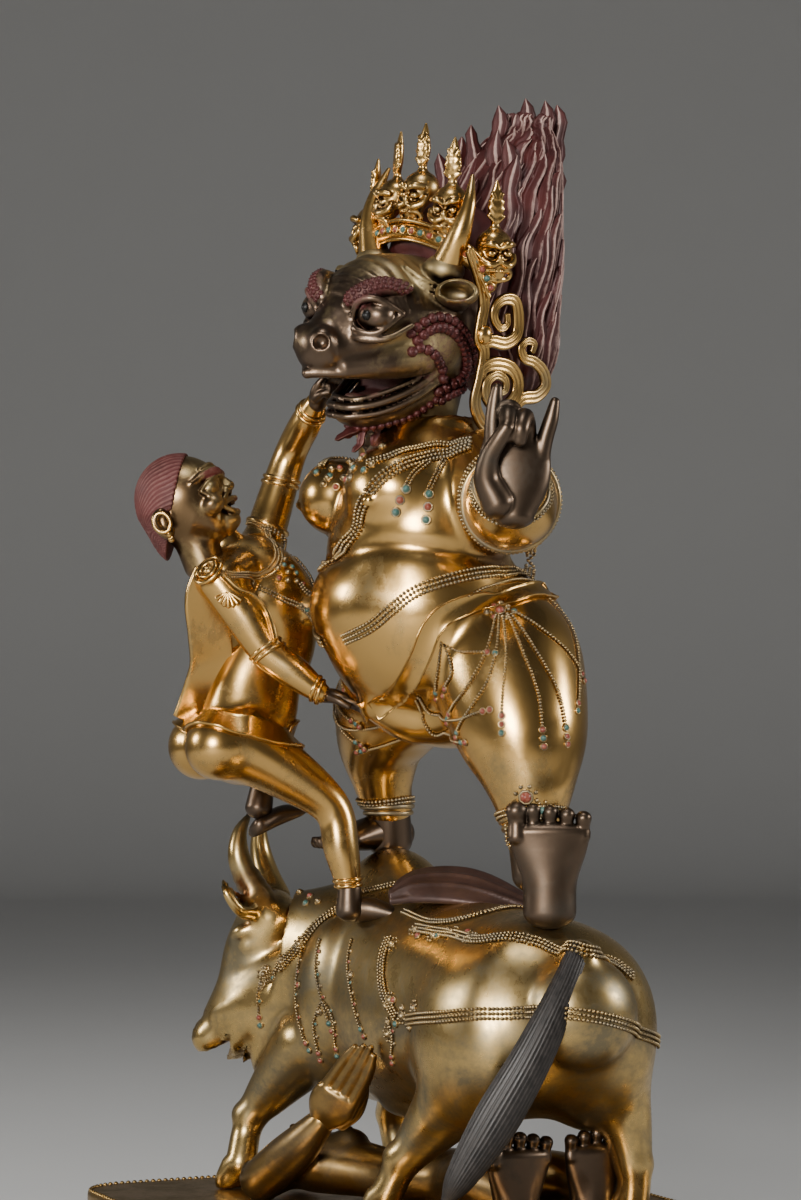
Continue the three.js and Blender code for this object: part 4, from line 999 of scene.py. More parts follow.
def bull_head_form():
    """Skull, muzzle, jaw and neck as soft limbs, mirrored for brows, eyes, ears, lips and wrinkles."""
    form = Form(HEAD_PLACE)
    form.add(Limb([(0, 28, 0, 32, 33), (0, 6, 4, 38, 38), (0, -20, 8, 34, 33), (0, -38, -1, 25, 21),
                   (0, -50, -7, 18, 16),
                   (0, -58, -9, 15.5, 14)]))
    form.add(Limb([(0, -18, 33, 16, 8), (0, -38, 17, 12, 8), (0, -54, 3, 10, 7)]), 8)
    both(form, [(28, -8, -8, 9, 12), (24, -26, -14, 8, 9), (13, -50, -18, 6, 6)], 6)
    form.add(Limb([(0, 16, -24, 29, 17), (0, -8, -38, 25, 12), (0, -27, -45, 18, 8), (0, -36, -44, 12, 6)]),
             5)
    form.cut(Limb([(0, 8, -16, 30, 1.6), (0, -14, -24, 30, 6), (0, -38, -31, 26, 8.5),
                   (0, -66, -34, 26, 10)], cap=0.4), 2)
    form.cut(Limb([(0, 0, -30, 17, 6), (0, -24, -38, 13, 5)], cap=0.5), 2)
    form.add(Limb([(0, -2, -33, 12, 4), (0, -22, -37, 10, 3.4), (0, -32, -36, 7, 2.6)]), 1.5)
    both(form, [(30, 4, -14, 2.6, 3), (27, -12, -20, 2.6, 2.4), (22, -32, -21, 2.6, 2.4),
                (13, -54, -21, 2.6, 2.6),
                (0, -66, -22, 2.6, 2.6)], 2.5)
    for size, drop, inset in ((2.4, 0, 0), (1.9, 5, -1.2), (1.7, -4.4, 2.2)):
        both(form, [(30 - inset, 4, -19 - drop, size), (26 - inset, -12, -30 - drop, size),
                    (18 - inset, -28, -37.5 - drop, size),
                    (9, -40 + inset, -40.5 - drop, size), (0, -43 + inset, -40.5 - drop, size)], 1.2)
    for k in range(5):
        both(form, [(11 - 2.2 * k, -60 - 0.6 * k, -16.5 - 0.4 * k, 1.0),
                    (10 - 2 * k, -62 - 0.8 * k, -11, 1.2)], 0.6)
    both_balls(form, (7.6, -62.5, -4), (7.4, 7.5, 8), 4)
    both_balls(form, (11.8, -68, -4), (4.2, 5, 4.2), 1.4, cut=True)
    both(form, [(9, -46, 15, 4), (16, -46, 21, 5.6), (23.5, -38, 26.5, 5.6), (32, -24, 27, 3.6)], 3)
    both_balls(form, (24.5, -42, 11), (11.5, 8, 8), 3, cut=True)
    both_balls(form, (23.2, -38.6, 11.2), (11.4, 9.4, 8.6), 0.8)
    both(form, [(13, -47.5, 7, 1.5), (20.5, -49, 18.6, 2.0), (29, -42.5, 20, 2.0), (35.5, -30, 13, 1.5)], 1.2)
    both(form, [(13, -47.5, 7, 1.5), (21, -48.5, 2.6, 1.9), (30, -42, 2.8, 1.9), (35.5, -30, 13, 1.5)], 1.2)
    both(form, [(12, -49, 2, 1.6), (22, -48.4, -1.6, 2.0), (33, -39, -0.6, 2.0), (38, -25, 7, 1.4)], 2)
    for k in range(5):
        both(form, [(0.8, -53 - 3 * k, 9.6 - 2.6 * k, 1.0), (5, -53 - 2.8 * k, 9.5 - 2.6 * k, 1.4),
                    (10, -50.5 - 2.4 * k, 6.6 - 2.4 * k, 1.4),
                    (14, -46 - 2.4 * k, 1.6 - 2.4 * k, 0.9)], 1.0)
    both(form, [(34, 10, 19, 7, 6), (41, 3, 23, 11, 7), (46, -1, 25, 12, 7.5), (49, -3, 26, 11, 7)], 3,
         up=(0, 0, 1))
    both(form, [(42, 1, 23.6, 8, 4.6), (50, -5, 26.5, 9, 5), (60, -12, 30, 9, 5)], 1, cut=True, up=(0, 0, 1))
    form.add(Limb([(0, 14, -74, 27, 25), (0, 12, -50, 27, 24), (0, 12, -30, 30, 27)], up=(0, 1, 0)), 6)
    for level in (-58, -66):
        form.add(Ball((0, 13, level), (28.6, 26.4, 4)), 3)
    both_balls(form, (28, 5, 36), (12, 11, 9), 4)
    for k in range(3):
        both(form, [(20, -16, 37 - 3 * k, 1.2), (29, -13, 32 - 3 * k, 1.6), (36, -5, 28 - 4 * k, 1.0)], 1.2)
    return form


# Red curls on the head, as picture points: two fringes round the cheek, the jaw's, the near brow's
FRINGE_OUTER = [(414, 337), (424, 328), (438, 322), (452, 326), (463, 337), (469, 352), (470, 367),
                (463, 380), (452, 389), (440, 396)]
FRINGE_INNER = [(412, 352), (420, 348), (428, 350), (436, 357), (441, 367), (443, 379)]
FRINGE_JAW = [(436, 400), (422, 410), (407, 418), (390, 423), (372, 427), (358, 428)]
BROW_NEAR = [(345, 300), (356, 291), (370, 284), (386, 281), (400, 285), (407, 292)]
BEARD = [[(362, 420), (356, 430), (346, 434), (335, 440)], [(366, 422), (362, 434), (360, 444), (352, 452)],
         [(378, 420), (378, 432), (374, 442), (376, 454)]]


def curls(form):
    """Rows of small whorls settled on the head along the fringes, with their sizes."""
    places, sizes, ups = [], [], []
    rows = ((FRINGE_OUTER, 3.4, 5.0, -2.8), (FRINGE_OUTER, 3.0, 4.6, 2.8), (FRINGE_INNER, 3.2, 5.0, 0.0),
            (FRINGE_JAW, 2.4, 4.2, 0.0), (BROW_NEAR, 1.7, 3.5, -3.2), (BROW_NEAR, 1.9, 3.7, 0.0),
            (BROW_NEAR, 1.7, 3.5, 3.2))
    for run, size, pitch, shift in rows:
        line = evenly(spline(struck(form, run), 60), pitch)
        line, normals = form.settle(line, 2)
        side = unit(np.cross(normals, np.gradient(line, axis=0)))
        line, normals = form.settle(line + side * shift, 3)
        line = line - normals * (0.9 if run is BROW_NEAR else 0.0)
        for mirror in (1, -1):
            flip = np.array([mirror, 1, 1])
            places.append(line * flip)
            ups.append(normals * flip)
            sizes.append(np.full(len(line), size))
    return np.vstack(places), np.vstack(ups), np.concatenate(sizes)


# The flame of hair, in its own frame: centre, half width and half depth at each height
HAIR_MASS = [(0, 88, -28, 18, 10), (0, 77, -8, 34, 25), (0, 68, 22, 39, 33), (0, 68, 58, 39, 31),
             (0, 73, 88, 33, 25),
             (0, 82, 110, 22, 17), (0, 88, 124, 10, 9)]


def hair_form():
    """The hair's mass: an oval at each height, widened at the front where it meets the head."""
    form = Form(HAIR_PLACE).add(Limb(HAIR_MASS, up=(0, 1, 0), cap=0.6))
    return form.add(Ball((0, 32, 46), (37, 28, 30)), 6).add(Limb([(-30, 20, 40, 6), (0, 8, 51, 7),
                                                                  (30, 20, 40, 6)]), 4)


# The consort
CONSORT_TRUNK = [(-72, -84, 306, 24, 25), (-72, -76, 326, 23, 27), (-72, -71, 346, 21, 26),
                 (-71, -62, 369, 22, 25),
                 (-70, -66, 391, 25, 28), (-72, -74, 408, 21, 21), (-74, -86, 418, 12, 12),
                 (-75, -92, 424, 10.5, 10.5)]
CONSORT_RIGHT_LEG = [(-60, -88, 310, 21.5), (-54, -66, 297, 17), (-46, -37, 274, 11), (-42, -32, 250, 10),
                     (-40, -28, 228, 6.6)]
CONSORT_LEFT_LEG = [(-86, -88, 312, 20), (-104, -66, 318, 15), (-115, -47, 309, 11), (-112, -51, 284, 7)]
CONSORT_RIGHT_ARM = [(-48, -104, 400, 12.5), (-40, -91, 379, 11.6), (-34, -80, 360, 9.6), (-27, -66, 348, 9),
                     (-20, -54, 337, 5.8)]
CONSORT_LEFT_ARM = [(-88, -62, 422, 12), (-92, -53, 446, 11), (-89, -44, 476, 9.4), (-72, -41, 494, 9),
                    (-60, -40, 504, 6)]
CONSORT_HEAD_PLACE = turned((-76, -111, 443), 152, 0, -24)


def consort_form():
    """Trunk, breasts, hips, legs and arms as limbs and balls with soft joins."""
    form = Form().add(Limb(CONSORT_TRUNK, up=(0, 1, 0), fine=9))
    for centre in ((-56, -48, 386), (-80, -44, 393)):
        form.add(Ball(centre, (12.5, 12.5, 12.5)), 4).add(Ball(np.array(centre) + [2, 12, -2], 2), 1)
    for stations in (CONSORT_RIGHT_LEG, CONSORT_LEFT_LEG, CONSORT_RIGHT_ARM, CONSORT_LEFT_ARM):
        form.add(Limb(stations, up=(1, 0.1, 0)), 5)
    form.add(Limb([(-50, -99, 401, 14, 12.5), (-70, -84, 408, 17, 14), (-88, -64, 420, 13, 12.5)]), 7)
    for centre in ((-58, -100, 308), (-84, -100, 308)):
        form.add(Ball(centre, (19, 19, 19)), 5)
    return form


def consort_head_form():
    """A round head with brows, eyes, nose, open mouth, teeth and ears as small limbs and balls."""
    form = Form(CONSORT_HEAD_PLACE)
    form.add(Ball((0, 2, 5), (22.5, 25, 25)))
    form.add(Limb([(0, -3, -8, 18.5, 15), (0, -10, -15, 14.5, 11), (0, -16, -17, 9, 7)]), 6)
    form.add(Ball((0, -19, -17), (7, 5, 4.6)), 3)
    form.add(Limb([(0, -20, 10, 2.6), (0, -23, 5.5, 3), (0, -25, 1.4, 3.6)]), 2.5)
    both_balls(form, (4.6, -22.4, -0.4), (2.8, 3.2, 2.6), 1.2)
    both_balls(form, (2.6, -25.4, -2.6), (1.3, 1.6, 1.3), 0.5, cut=True)
    both(form, [(2.5, -22.4, 8.6, 2.4), (8, -22, 11, 3.2), (15, -16, 11, 2.8), (20, -7.5, 9, 1.4)], 2)
    both(form, [(3, -21.4, 14, 1.6), (9, -20.2, 16, 1.8), (15, -15, 15, 1.2)], 2)
    both_balls(form, (13, -19, 3), (7, 4.6, 4.6), 2.5, cut=True)
    both_balls(form, (13.2, -15.6, 3), (6.6, 5.6, 4.6), 0.5)
    both(form, [(6.6, -20.6, 2.6, 1.1), (12.5, -20.8, 7.2, 1.5), (18, -15.6, 6, 1.4), (20.6, -11, 2.6, 1.0)],
         0.8)
    both(form, [(6.6, -20.6, 2.6, 1.1), (12.5, -19.8, -1.4, 1.4), (18, -15, -0.8, 1.3),
                (20.6, -11, 2.6, 1.0)], 0.8)
    both_balls(form, (15, -13.4, -6), (6.4, 7, 5.6), 4)
    form.cut(Limb([(-10, -18, -8, 2, 1.6), (0, -26.4, -9.8, 3.6, 3.4), (10, -18, -8, 2, 1.6)], up=(0, 0, 1)),
             1)
    both(form, [(0, -25.4, -6, 1.7), (5.4, -23.4, -5.8, 1.6), (10.4, -18.2, -7.6, 1.5)], 1)
    both(form, [(0, -23.8, -13.6, 1.8), (5.6, -22.2, -12.8, 1.7), (10.4, -18.2, -8.4, 1.5)], 1)
    for k in range(4):
        both_balls(form, (1.2 + 2.2 * k, -23.6 + 0.9 * k, -8 + 0.2 * k), (1.0, 1.0, 1.3), 0.3)
        both_balls(form, (1.2 + 2.2 * k, -22.6 + 0.9 * k, -11.6 + 0.4 * k), (1.0, 1.0, 1.1), 0.3)
    both(form, [(4.6, -23.4, -1.6, 1.0), (9.5, -21.4, -4, 1.4), (12.6, -16, -9, 1.2), (11.6, -14, -15, 0.9)],
         1.5)
    both(form, [(21, 12, -2, 2), (23.6, 14, 1, 2.4), (24.4, 18.5, -1.6, 2.4), (23.6, 18.6, -8, 2.2),
                (22, 15, -13, 2.2), (21, 12, -10, 1.6)], 1)
    both_balls(form, (21.5, 15, -5), (3, 3.6, 6), 1.5)
    form.add(Limb([(0, 5, -33, 12), (0, 4, -20, 12.6), (0, 4, -10, 14)], up=(0, 1, 0)), 5)
    return form


def consort_hair_form():
    """A cap of hair behind a slanting hairline from the forehead down to the ears, with its nape."""
    form = Form(CONSORT_HEAD_PLACE).add(Ball((0, 3, 6.4), (24.4, 25.6, 25.6)))
    form.add(Limb([(0, 14, 2, 21, 14), (0, 17, -14, 16.5, 10), (0, 14, -27, 12, 7)], up=(0, 1, 0)), 6)
    form.cut(Half((0, -11.6, 28.2), (0, -0.824, -0.567)), 1.2)
    for side in (1, -1):
        form.cut(Ball((side * 24, 10, -12), (7, 9, 13)), 2)
    return form


# Pieces
def settings():
    return bpy.context.scene.guardian_settings


def voxel(size):
    return size * settings().coarseness * 1.0


def finishes(*names):
    return [bpy.data.materials[name] for name in names]


def skin_of(lot, form, step, finish=0, reach=5.0, ease=1, tint=None, dusty=None, worn=None):
    """The form's own skin, with how hollow each place is for the painted shade, its pigment and its dust."""
    points, faces, normals = skinned(form, voxel(step), ease)
    values = {"hollow": hollowness(form, points, normals, reach)}
    if tint is not None:
        values["tint"] = tint(points)
    if worn is not None:
        values["worn"] = worn(points)
    if dusty:
        values["dust"] = near_lines(points, dusty)
    lot.add(points, faces, finish, normals, **values)


def near_lines(points, lines, reach=3.0):
    """How near the lines each point is: the lines mark cells of a grid, the marks are blurred twice along
    each axis, and each point reads the eight cells round it."""
    cell = reach / 2
    low = points.min(0) - 5 * cell
    size = ((points.max(0) - low) / cell).astype(int) + 7
    grid = np.zeros(size, np.float32)
    grid[tuple(np.clip(((np.vstack(lines) - low) / cell).round().astype(int), 3, size - 4).T)] = 1.0
    for _ in range(2):
        for axis in range(3):
            grid = (np.roll(grid, 1, axis) + grid + np.roll(grid, -1, axis)) / 2.45
    place = (points - low) / cell
    home = place.astype(int)
    part = place - home
    value = np.zeros(len(points))
    for corner in np.ndindex(2, 2, 2):
        share = np.prod(np.where(corner, part, 1 - part), axis=1)
        value += share * grid[tuple((home + corner).T)]
    return np.clip(value, 0, 1)


PLINTH_HALF = (175.0, 146.0)
PLINTH_CORNER = 29.0
PETALS = 18


def plan(inset, count):
    """Points evenly round the rounded plan, pulled in by the inset."""
    a, b = PLINTH_HALF[0] - inset, PLINTH_HALF[1] - inset
    c = PLINTH_CORNER - inset / 2
    turn = np.linspace(0, np.pi / 2, 13)
    arc = np.stack([np.cos(turn), np.sin(turn)], 1) * c
    ring = []
    for k, (x, y) in enumerate(((1, 1), (-1, 1), (-1, -1), (1, -1))):
        quarter = np.array([[math.cos(k * np.pi / 2), math.sin(k * np.pi / 2)],
                            [-math.sin(k * np.pi / 2), math.cos(k * np.pi / 2)]])
        ring.append(arc @ quarter + [x * (a - c), y * (b - c)])
    ring = np.vstack(ring + [ring[0][:1]])
    return evenly(ring, np.linalg.norm(np.diff(ring, axis=0), axis=1).sum() / count)[:count]


def build_plinth():
    """A rounded block: the plan at each level of a moulded profile, whose waist swells into petals."""
    count = PETALS * 16
    profile = [(1, 0), (0, 0.6), (0, 6), (1.4, 8.4), (6, 9), (8.4, 10), (8.6, 14), (8.4, 20), (8, 26),
               (8, 32), (8.6, 38),
               (7, 42), (4, 43), (2.6, 44.5), (2.5, 49), (2.9, 51.2), (4.6, 52)]
    line = evenly(np.array(profile, float), 1.9)
    base = plan(0, count)
    inner = plan(10, count)
    inward = unit(inner - base)
    u = (np.arange(count) % 16) / 16
    level = np.clip((line[:, 1] - 10) / 27, 0, 1)
    width = 0.16 + 0.34 * np.sin(np.pi * np.clip(level * 0.78 + 0.16, 0, 1)) ** 0.8
    inside = np.abs(u[None] - 0.5) / width[:, None]
    swell = np.sqrt(np.clip(1 - inside**2, 0, 1)) * (np.sin(np.pi * np.clip(level, 0, 1)) ** 0.6)[:, None]
    rim = np.exp(-((inside - 0.8) / 0.1) ** 2) * (swell > 0)
    shift = line[:, :1] - swell * 5.0 - rim * 0.6
    across = base[None] + inward[None] * shift[..., None]
    ring = np.concatenate([across, np.broadcast_to(line[:, None, 1:], (len(line), count, 1))], 2)
    top = [ring[-1] * [share, share, 1] for share in (0.8, 0.4)]
    low = [ring[0] * [share, share, 1] for share in (0.4, 0.8)]
    grid = np.concatenate([np.array(low), ring, np.array(top)])
    lot = Lot()
    lot.add(grid.reshape(-1, 3), shell_faces(len(grid), count))
    for inset, level, size in ((3.6, 51.6, 1.6), (6.0, 43.6, 1.6), (2.2, 9.0, 1.6)):
        beads = plan(inset, int(1150 / (2.3 * size)))
        beads = np.hstack([beads, np.full((len(beads), 1), level)])
        lot.copies(BEAD, beads, np.broadcast_to(np.eye(3), (len(beads), 3, 3)), size)
    lot.piece("Plinth", finishes("Plinth gilding"), ["plinth"])


# The harness on the side that the camera sees, as picture points
UPPER_STRAP = [(414, 928), (450, 934), (480, 940), (540, 943), (585, 950), (610, 961), (632, 976)]
LOWER_STRAP = [(408, 1020), (440, 1017), (480, 1014), (540, 1012), (590, 1016), (630, 1026), (657, 1042)]
FRONT_STRAP = [(389, 938), (382, 962), (384, 992), (396, 1016)]
BREAST_STRAP = [(345, 905), (318, 924), (297, 948), (278, 968), (266, 978)]
NECK_CORD = [(398, 884), (380, 888), (360, 894), (338, 908)]
SADDLE_EDGE = [(404, 912), (430, 922), (460, 920), (490, 912), (520, 908)]
FESTOONS = [
    [(302, 948), (298, 975), (297, 1005), (305, 1040)], [(320, 940), (316, 968), (322, 1000), (328, 1020)],
    [(322, 1000), (314, 1024), (318, 1050)], [(322, 1000), (334, 1022), (336, 1046)],
    [(352, 940), (348, 965), (352, 995), (360, 1026)],
    [(388, 1018), (393, 1036), (392, 1054)], [(262, 975), (258, 995), (259, 1014)],
]
HARNESS_STONES = [(386, 1006), (394, 1000), (402, 1008), (396, 1024), (410, 1028), (388, 1022), (418, 936),
                  (428, 930), (438, 936),
                  (448, 930), (458, 937), (468, 932), (266, 968), (274, 978), (262, 984), (300, 892),
                  (310, 896), (318, 901), (306, 903),
                  (319, 1012), (351, 975), (299, 985)]
HARNESS_FLOWERS = [(390, 1000), (402, 1016), (388, 1034), (414, 1008), (416, 930), (434, 936), (452, 932),
                   (470, 938),
                   (264, 974), (282, 962), (300, 944), (392, 944)]
TRUNK_LINE = np.array([[-102, -4], [-72, 12], [-30, 19], [20, 25], [64, 31], [98, 33], [122, 32]], float)


def over_back(form, line):
    """The same line on the buffalo's other side, across the trunk's own middle line."""
    middle = np.interp(line[:, 0], TRUNK_LINE[:, 0], TRUNK_LINE[:, 1])
    moved = line.copy()
    moved[:, 1] = 2 * middle - line[:, 1]
    return form.settle(moved, 8, limit=6)[0]


def build_harness(form):
    """Double bead cords, festoons and stones traced on the near flank and mirrored to the far one."""
    lot = Lot()
    lines = []
    for run, rows, bead in ((UPPER_STRAP, 3, 0.9), (LOWER_STRAP, 3, 0.95), (FRONT_STRAP, 3, 0.85),
                            (BREAST_STRAP, 3, 0.85),
                            (NECK_CORD, 2, 0.85), (SADDLE_EDGE, 2, 0.9)):
        line = struck(form, run)
        far = over_back(form, line)
        if run in (UPPER_STRAP, LOWER_STRAP):
            beyond = far[far[:, 1] > line[-1, 1] + 12][::-1]
            line = form.settle(spline(np.vstack([line, beyond]), 120), 8, limit=6)[0]
            lines.append(cord(lot, form, line, bead, rows))
        else:
            for path in (line, far):
                lines.append(cord(lot, form, path, bead, rows))
    for k, run in enumerate(FESTOONS):
        line = struck(form, run)
        for path in (line, over_back(form, line)):
            lines += strand(lot, form, path, 2, seed=k)
            lines.append(stones(lot, form, evenly(spline(path, 30), 7)[1:-1] + [1.6, 0, 0], 1.1, 1,
                                (1, 2, 1, 3), k))
    places = struck(form, HARNESS_STONES)
    for path in (places, over_back(form, places)):
        lines.append(stones(lot, form, path, 1.9, 1, (1, 2, 1, 3, 1)))
    for place in struck(form, HARNESS_FLOWERS):
        for spot in (place, over_back(form, place[None])[0]):
            rosette(lot, form, spot, 2.3, 1, 1)
    lot.piece("Harness", finishes("Cord gilding", "Cord gilding", "Coral", "Turquoise"), ())
    return lines


def build_buffalo():
    """The animal's skin, dusty along the cords of its harness."""
    form = buffalo_form()
    lines = build_harness(form)
    lot = Lot()
    skin_of(lot, form, BUFFALO_STEP, reach=8, ease=7, dusty=lines)
    lot.piece("Buffalo", finishes("Buffalo gilding"), ["buffalo"])


def build_tail():
    """The switch of hair: a tube whose outline is combed into fine grooves."""
    a = np.linspace(0, 2 * np.pi, 96, endpoint=False)
    r = 1 - 0.075 * np.cos(a * 16) ** 2
    profile = np.stack([np.cos(a) * r, np.sin(a) * r], 1)
    line = spline(TAIL, 44)
    points, faces = tube(line[:, :3], line[:, 3:], OUT, profile=profile)
    lot = Lot()
    # Paler on the raised ridges: rubbed pigment and a painted highlight.
    lot.add(points, faces, ridge=np.tile(r, len(points) // 96) * 4 - 3.2)
    lot.piece("Buffalo's tail", finishes("Dark iron"), ["buffalo_tail"])


def build_hide():
    """A hide laid over the spine: a flat oval carried along it and tipped to one side, with a crease on each
    side of its middle and a rolled edge."""
    tipped = unit(UP + 0.75 * OUT)
    across = unit(OUT - 0.75 * UP)
    form = Form().add(Limb(HIDE, up=tipped, cap=0.6))
    for side in (-1, 1):
        for part, rise, size in ((0.3, 0.85, 1.4), (0.9, 0.0, 2.0)):
            line = [(*(np.array([x, y, z]) + side * part * w * across + rise * h * tipped), size) for x, y,
                    z, w, h in HIDE]
            form.add(Limb(line), 2)
    lot = Lot()
    skin_of(lot, form, HIDE_STEP)
    lot.piece("Saddle hide", finishes("Saddle red"), ["saddle_hide"])


def build_lying_figure():
    """The figure's skin with its two soles and its raised hand."""
    lot = Lot()
    form = lying_form()
    skin_of(lot, form, LYING_STEP, ease=4)
    for k, y in enumerate((13, 59)):
        foot = foot_form(axes([94, y, 73], [0, 1, 0], [0, 0, -1], [-1, 0, 0]), 1 - 2 * k, 56, 20.5)
        put(lot, foot, 1.15, 1)
    hand = hand_form(facing([-33, -47, 101], [0.61, 0.19, 0.77], [-0.8, 0.6, 0]), (13.5, 6, 14), LONG_FINGERS)
    put(lot, hand, 1.0)
    lot.piece("Lying figure", finishes("Shaded figure gilding", "Dark bronze"), ["fallen_figure"])


def put(lot, form, step, finish=0, reach=3.0):
    """A form with its own frame, added to a lot in the part's frame, with how hollow each place is for the
    painted shade.
    """
    points, faces, normals = skinned(form, voxel(step))
    origin, trio = form.place
    lot.add(points @ trio.T + origin, faces, finish, normals @ trio.T,
            hollow=hollowness(form, points, normals, reach))


# The guardian's ornaments on the side that the camera sees, as picture points
NECKLACE_HIDDEN = [(-50, -20, 404), (-56, 20, 402), (-34, 52, 408), (4, 58, 424), (34, 44, 448),
                   (42, 18, 468)]
NECKLACE = [(470, 446), (440, 455), (410, 462), (390, 472), (371, 490), (360, 512), (352, 536), (339, 553),
            (320, 564)]
COLLAR_CORD = [(470, 440), (440, 444), (412, 449), (388, 457), (368, 463)]
WAIST_CORD = [(545, 562), (532, 569), (490, 572), (447, 580), (415, 592), (391, 610), (370, 627), (345, 639),
              (322, 644)]
LOIN_BAND = [(549, 592), (510, 598), (472, 604), (446, 614), (431, 630), (421, 655), (408, 680), (392, 700),
             (374, 711)]
SASH_EDGE = [(548, 578), (520, 580), (490, 586), (468, 596)]
PENDANTS = [[(428, 462), (414, 473), (407, 485)], [(444, 461), (436, 475), (429, 490)]]
PENDANT_STONES = [(406, 489), (400, 500), (396, 512), (429, 494), (428, 507), (426, 520)]
CHEST_CLUSTER = [(350, 462), (361, 459), (340, 468), (352, 470), (330, 476), (344, 478), (324, 484),
                 (336, 487), (372, 464), (364, 470)]
HIP_ROSE = (500, 611)
ROSE_STONES = [(487, 612), (494, 606), (507, 606), (514, 611), (500, 603), (494, 617), (507, 617)]
HIP_STRANDS = [
    [(496, 616), (490, 640), (480, 665), (465, 690), (450, 712)], [(499, 617), (497, 645), (488, 680),
                                                                   (472, 706), (458, 730)],
    [(503, 617), (506, 650), (503, 690), (502, 712)], [(508, 616), (522, 650), (537, 690), (542, 726)],
    [(511, 615), (534, 648), (557, 690), (565, 724)], [(513, 612), (545, 632), (566, 650), (580, 671)],
]
SIDE_STRANDS = [[(549, 600), (568, 622), (577, 650), (578, 700)], [(441, 643), (438, 670), (436, 690)],
                [(444, 645), (452, 672), (446, 686)],
                [(444, 645), (462, 652), (484, 652)], [(416, 700), (424, 722), (440, 734), (460, 742)],
                [(418, 697), (432, 714), (455, 720), (480, 712)]]
ANKLE_JEWEL = [(526, 797), (543, 810), (515, 818)]
ANKLE_CORD = [(510, 826), (512, 845), (518, 866)]
ARM_RINGS = [((112, -2, 440), (0.8, -0.3, 0.5), 22), ((-103, 20, 494), (-0.1, -0.1, 1), 14),
             ((78, 14, 440), (1, -0.3, -0.1), 27), ((-78, 22, 454), (-1, 0.2, 0.2), 22)]
ANKLE_RINGS = [((88, 22, 268), (0.1, 0, -1), 20), ((-87, 18, 273), (0, 0, -1), 15)]
BODY_MIDDLE = 5.0


def mirrored_line(form, line):
    """The same line on the other side of the body, settled on the skin there."""
    line = line * [-1, 1, 1] + [2 * BODY_MIDDLE, 0, 0]
    return form.settle(line, 8, limit=6)[0]


def both_sides(form, line):
    """The line itself and the same line on the other side."""
    return line, mirrored_line(form, line)


def ring(form, centre, axis, radius, count=48):
    """A closed line round a limb: a circle about an axis, settled on the skin."""
    z = unit(axis)
    x = unit(np.cross(z, [0.31, 0.17, 0.4]))
    a = np.linspace(0, 2 * np.pi, count)[:, None]
    line = np.asarray(centre, float) + radius * (np.cos(a) * x + np.sin(a) * np.cross(z, x))
    return form.settle(line, 6, limit=4)[0]


def hoop(lot, line, half, finish=0):
    """A closed round wire along a closed line."""
    line = line[:-1]
    ahead = unit(np.roll(line, -1, 0) - np.roll(line, 1, 0))
    out = unit(line - line.mean(0))
    out = unit(out - (out * ahead).sum(1, keepdims=True) * ahead)
    a = 2 * np.pi * np.arange(8) / 8
    turn = np.stack([np.cos(a), np.sin(a)], 1)[None, :, :, None] * np.stack([out, np.cross(ahead, out)],
                                                                            1)[:, None]
    grid = line[:, None] + half * turn.sum(2)
    lot.add(grid.reshape(-1, 3), sheet_faces(len(line), 8, True, True), finish)


def rosette(lot, form, place, size, finish=1, middle=2):
    """A large stone in a rim, with a ring of eight beads round it."""
    places, normals = form.settle(np.atleast_2d(np.asarray(place, float)), 3)
    trio = upright(normals)
    lot.copies(COLLET, places, trio, size, finish)
    lot.copies(STONE, places, trio, size, middle)
    a = np.linspace(0, 2 * np.pi, 9)[:-1]
    beads = places + 1.75 * size * (np.cos(a)[:, None] * trio[0, :, 0] + np.sin(a)[:, None] * trio[0, :, 1])
    beads, ups = form.settle(beads, 2)
    lot.copies(BEAD, beads + ups * 0.3, upright(ups), 0.42 * size, finish)


def strand(lot, form, line, drops, finish=1, seed=0):
    """A single cord that ends in a row of stones, largest last."""
    lines = [cord(lot, form, line, 0.75, 1, finish)]
    end = line[-1] + unit(line[-1] - line[-2]) * (np.arange(drops)[:, None] * 4.6 + 2)
    lines.append(stones(lot, form, end, 1.7, finish, (2, 3, 2), seed))
    return lines


def behind(form, line, depth, height):
    """A line from the first point of another one, round the back of the body to the other side."""
    start = line[0]
    across = np.array([start, [BODY_MIDDLE, depth, start[2] + height],
                       start * [-1, 1, 1] + [2 * BODY_MIDDLE, 0, 0]])
    return form.settle(spline(across, 9), 6, limit=6)[0]


def guardian_cords(lot, form):
    """The long sling over the shoulder, the collar, the waist cord closed at the back, the sash's edge."""
    sling = np.vstack([struck(form, NECKLACE), NECKLACE_HIDDEN])
    lines = [cord(lot, form, form.settle(spline(sling, 90), 8, limit=6)[0], 1.0, 3)]
    for run, rows, bead in ((COLLAR_CORD, 2, 0.85), (WAIST_CORD, 3, 0.95), (SASH_EDGE, 1, 0.8)):
        line = struck(form, run)
        line = line[line[:, 0] > BODY_MIDDLE - 4]
        for path in both_sides(form, line):
            lines.append(cord(lot, form, path, bead, rows))
    lines.append(cord(lot, form, behind(form, struck(form, WAIST_CORD[:1]), 62, 3), 0.95, 3))
    return lines


def guardian_strands(lot, form):
    """Strands that hang from the hip and the side, with the rose of stones that they hang from."""
    lines = []
    for k, run in enumerate(HIP_STRANDS + SIDE_STRANDS):
        for path in both_sides(form, struck(form, run)):
            lines += strand(lot, form, path, 3 if k < 5 else 2, seed=k)
    rose, around = struck(form, [HIP_ROSE]), struck(form, ROSE_STONES)
    for path in both_sides(form, rose):
        rosette(lot, form, path[0], 2.6)
    for path in both_sides(form, around):
        lines.append(stones(lot, form, path, 1.5, 1, (1, 2, 1, 3)))
    return lines


def guardian_chest(lot, form):
    """Two short pendants, their stones and the cluster of stones between the breasts."""
    lines = []
    for run in PENDANTS:
        for path in both_sides(form, struck(form, run)):
            lines.append(cord(lot, form, path, 0.75, 2))
    for run, size, fill in ((PENDANT_STONES, 2.3, (3, 2, 3)), (CHEST_CLUSTER, 1.9, (1, 1, 2, 1, 3))):
        for path in both_sides(form, struck(form, run)):
            lines.append(stones(lot, form, path, size, 1, fill))
    return lines


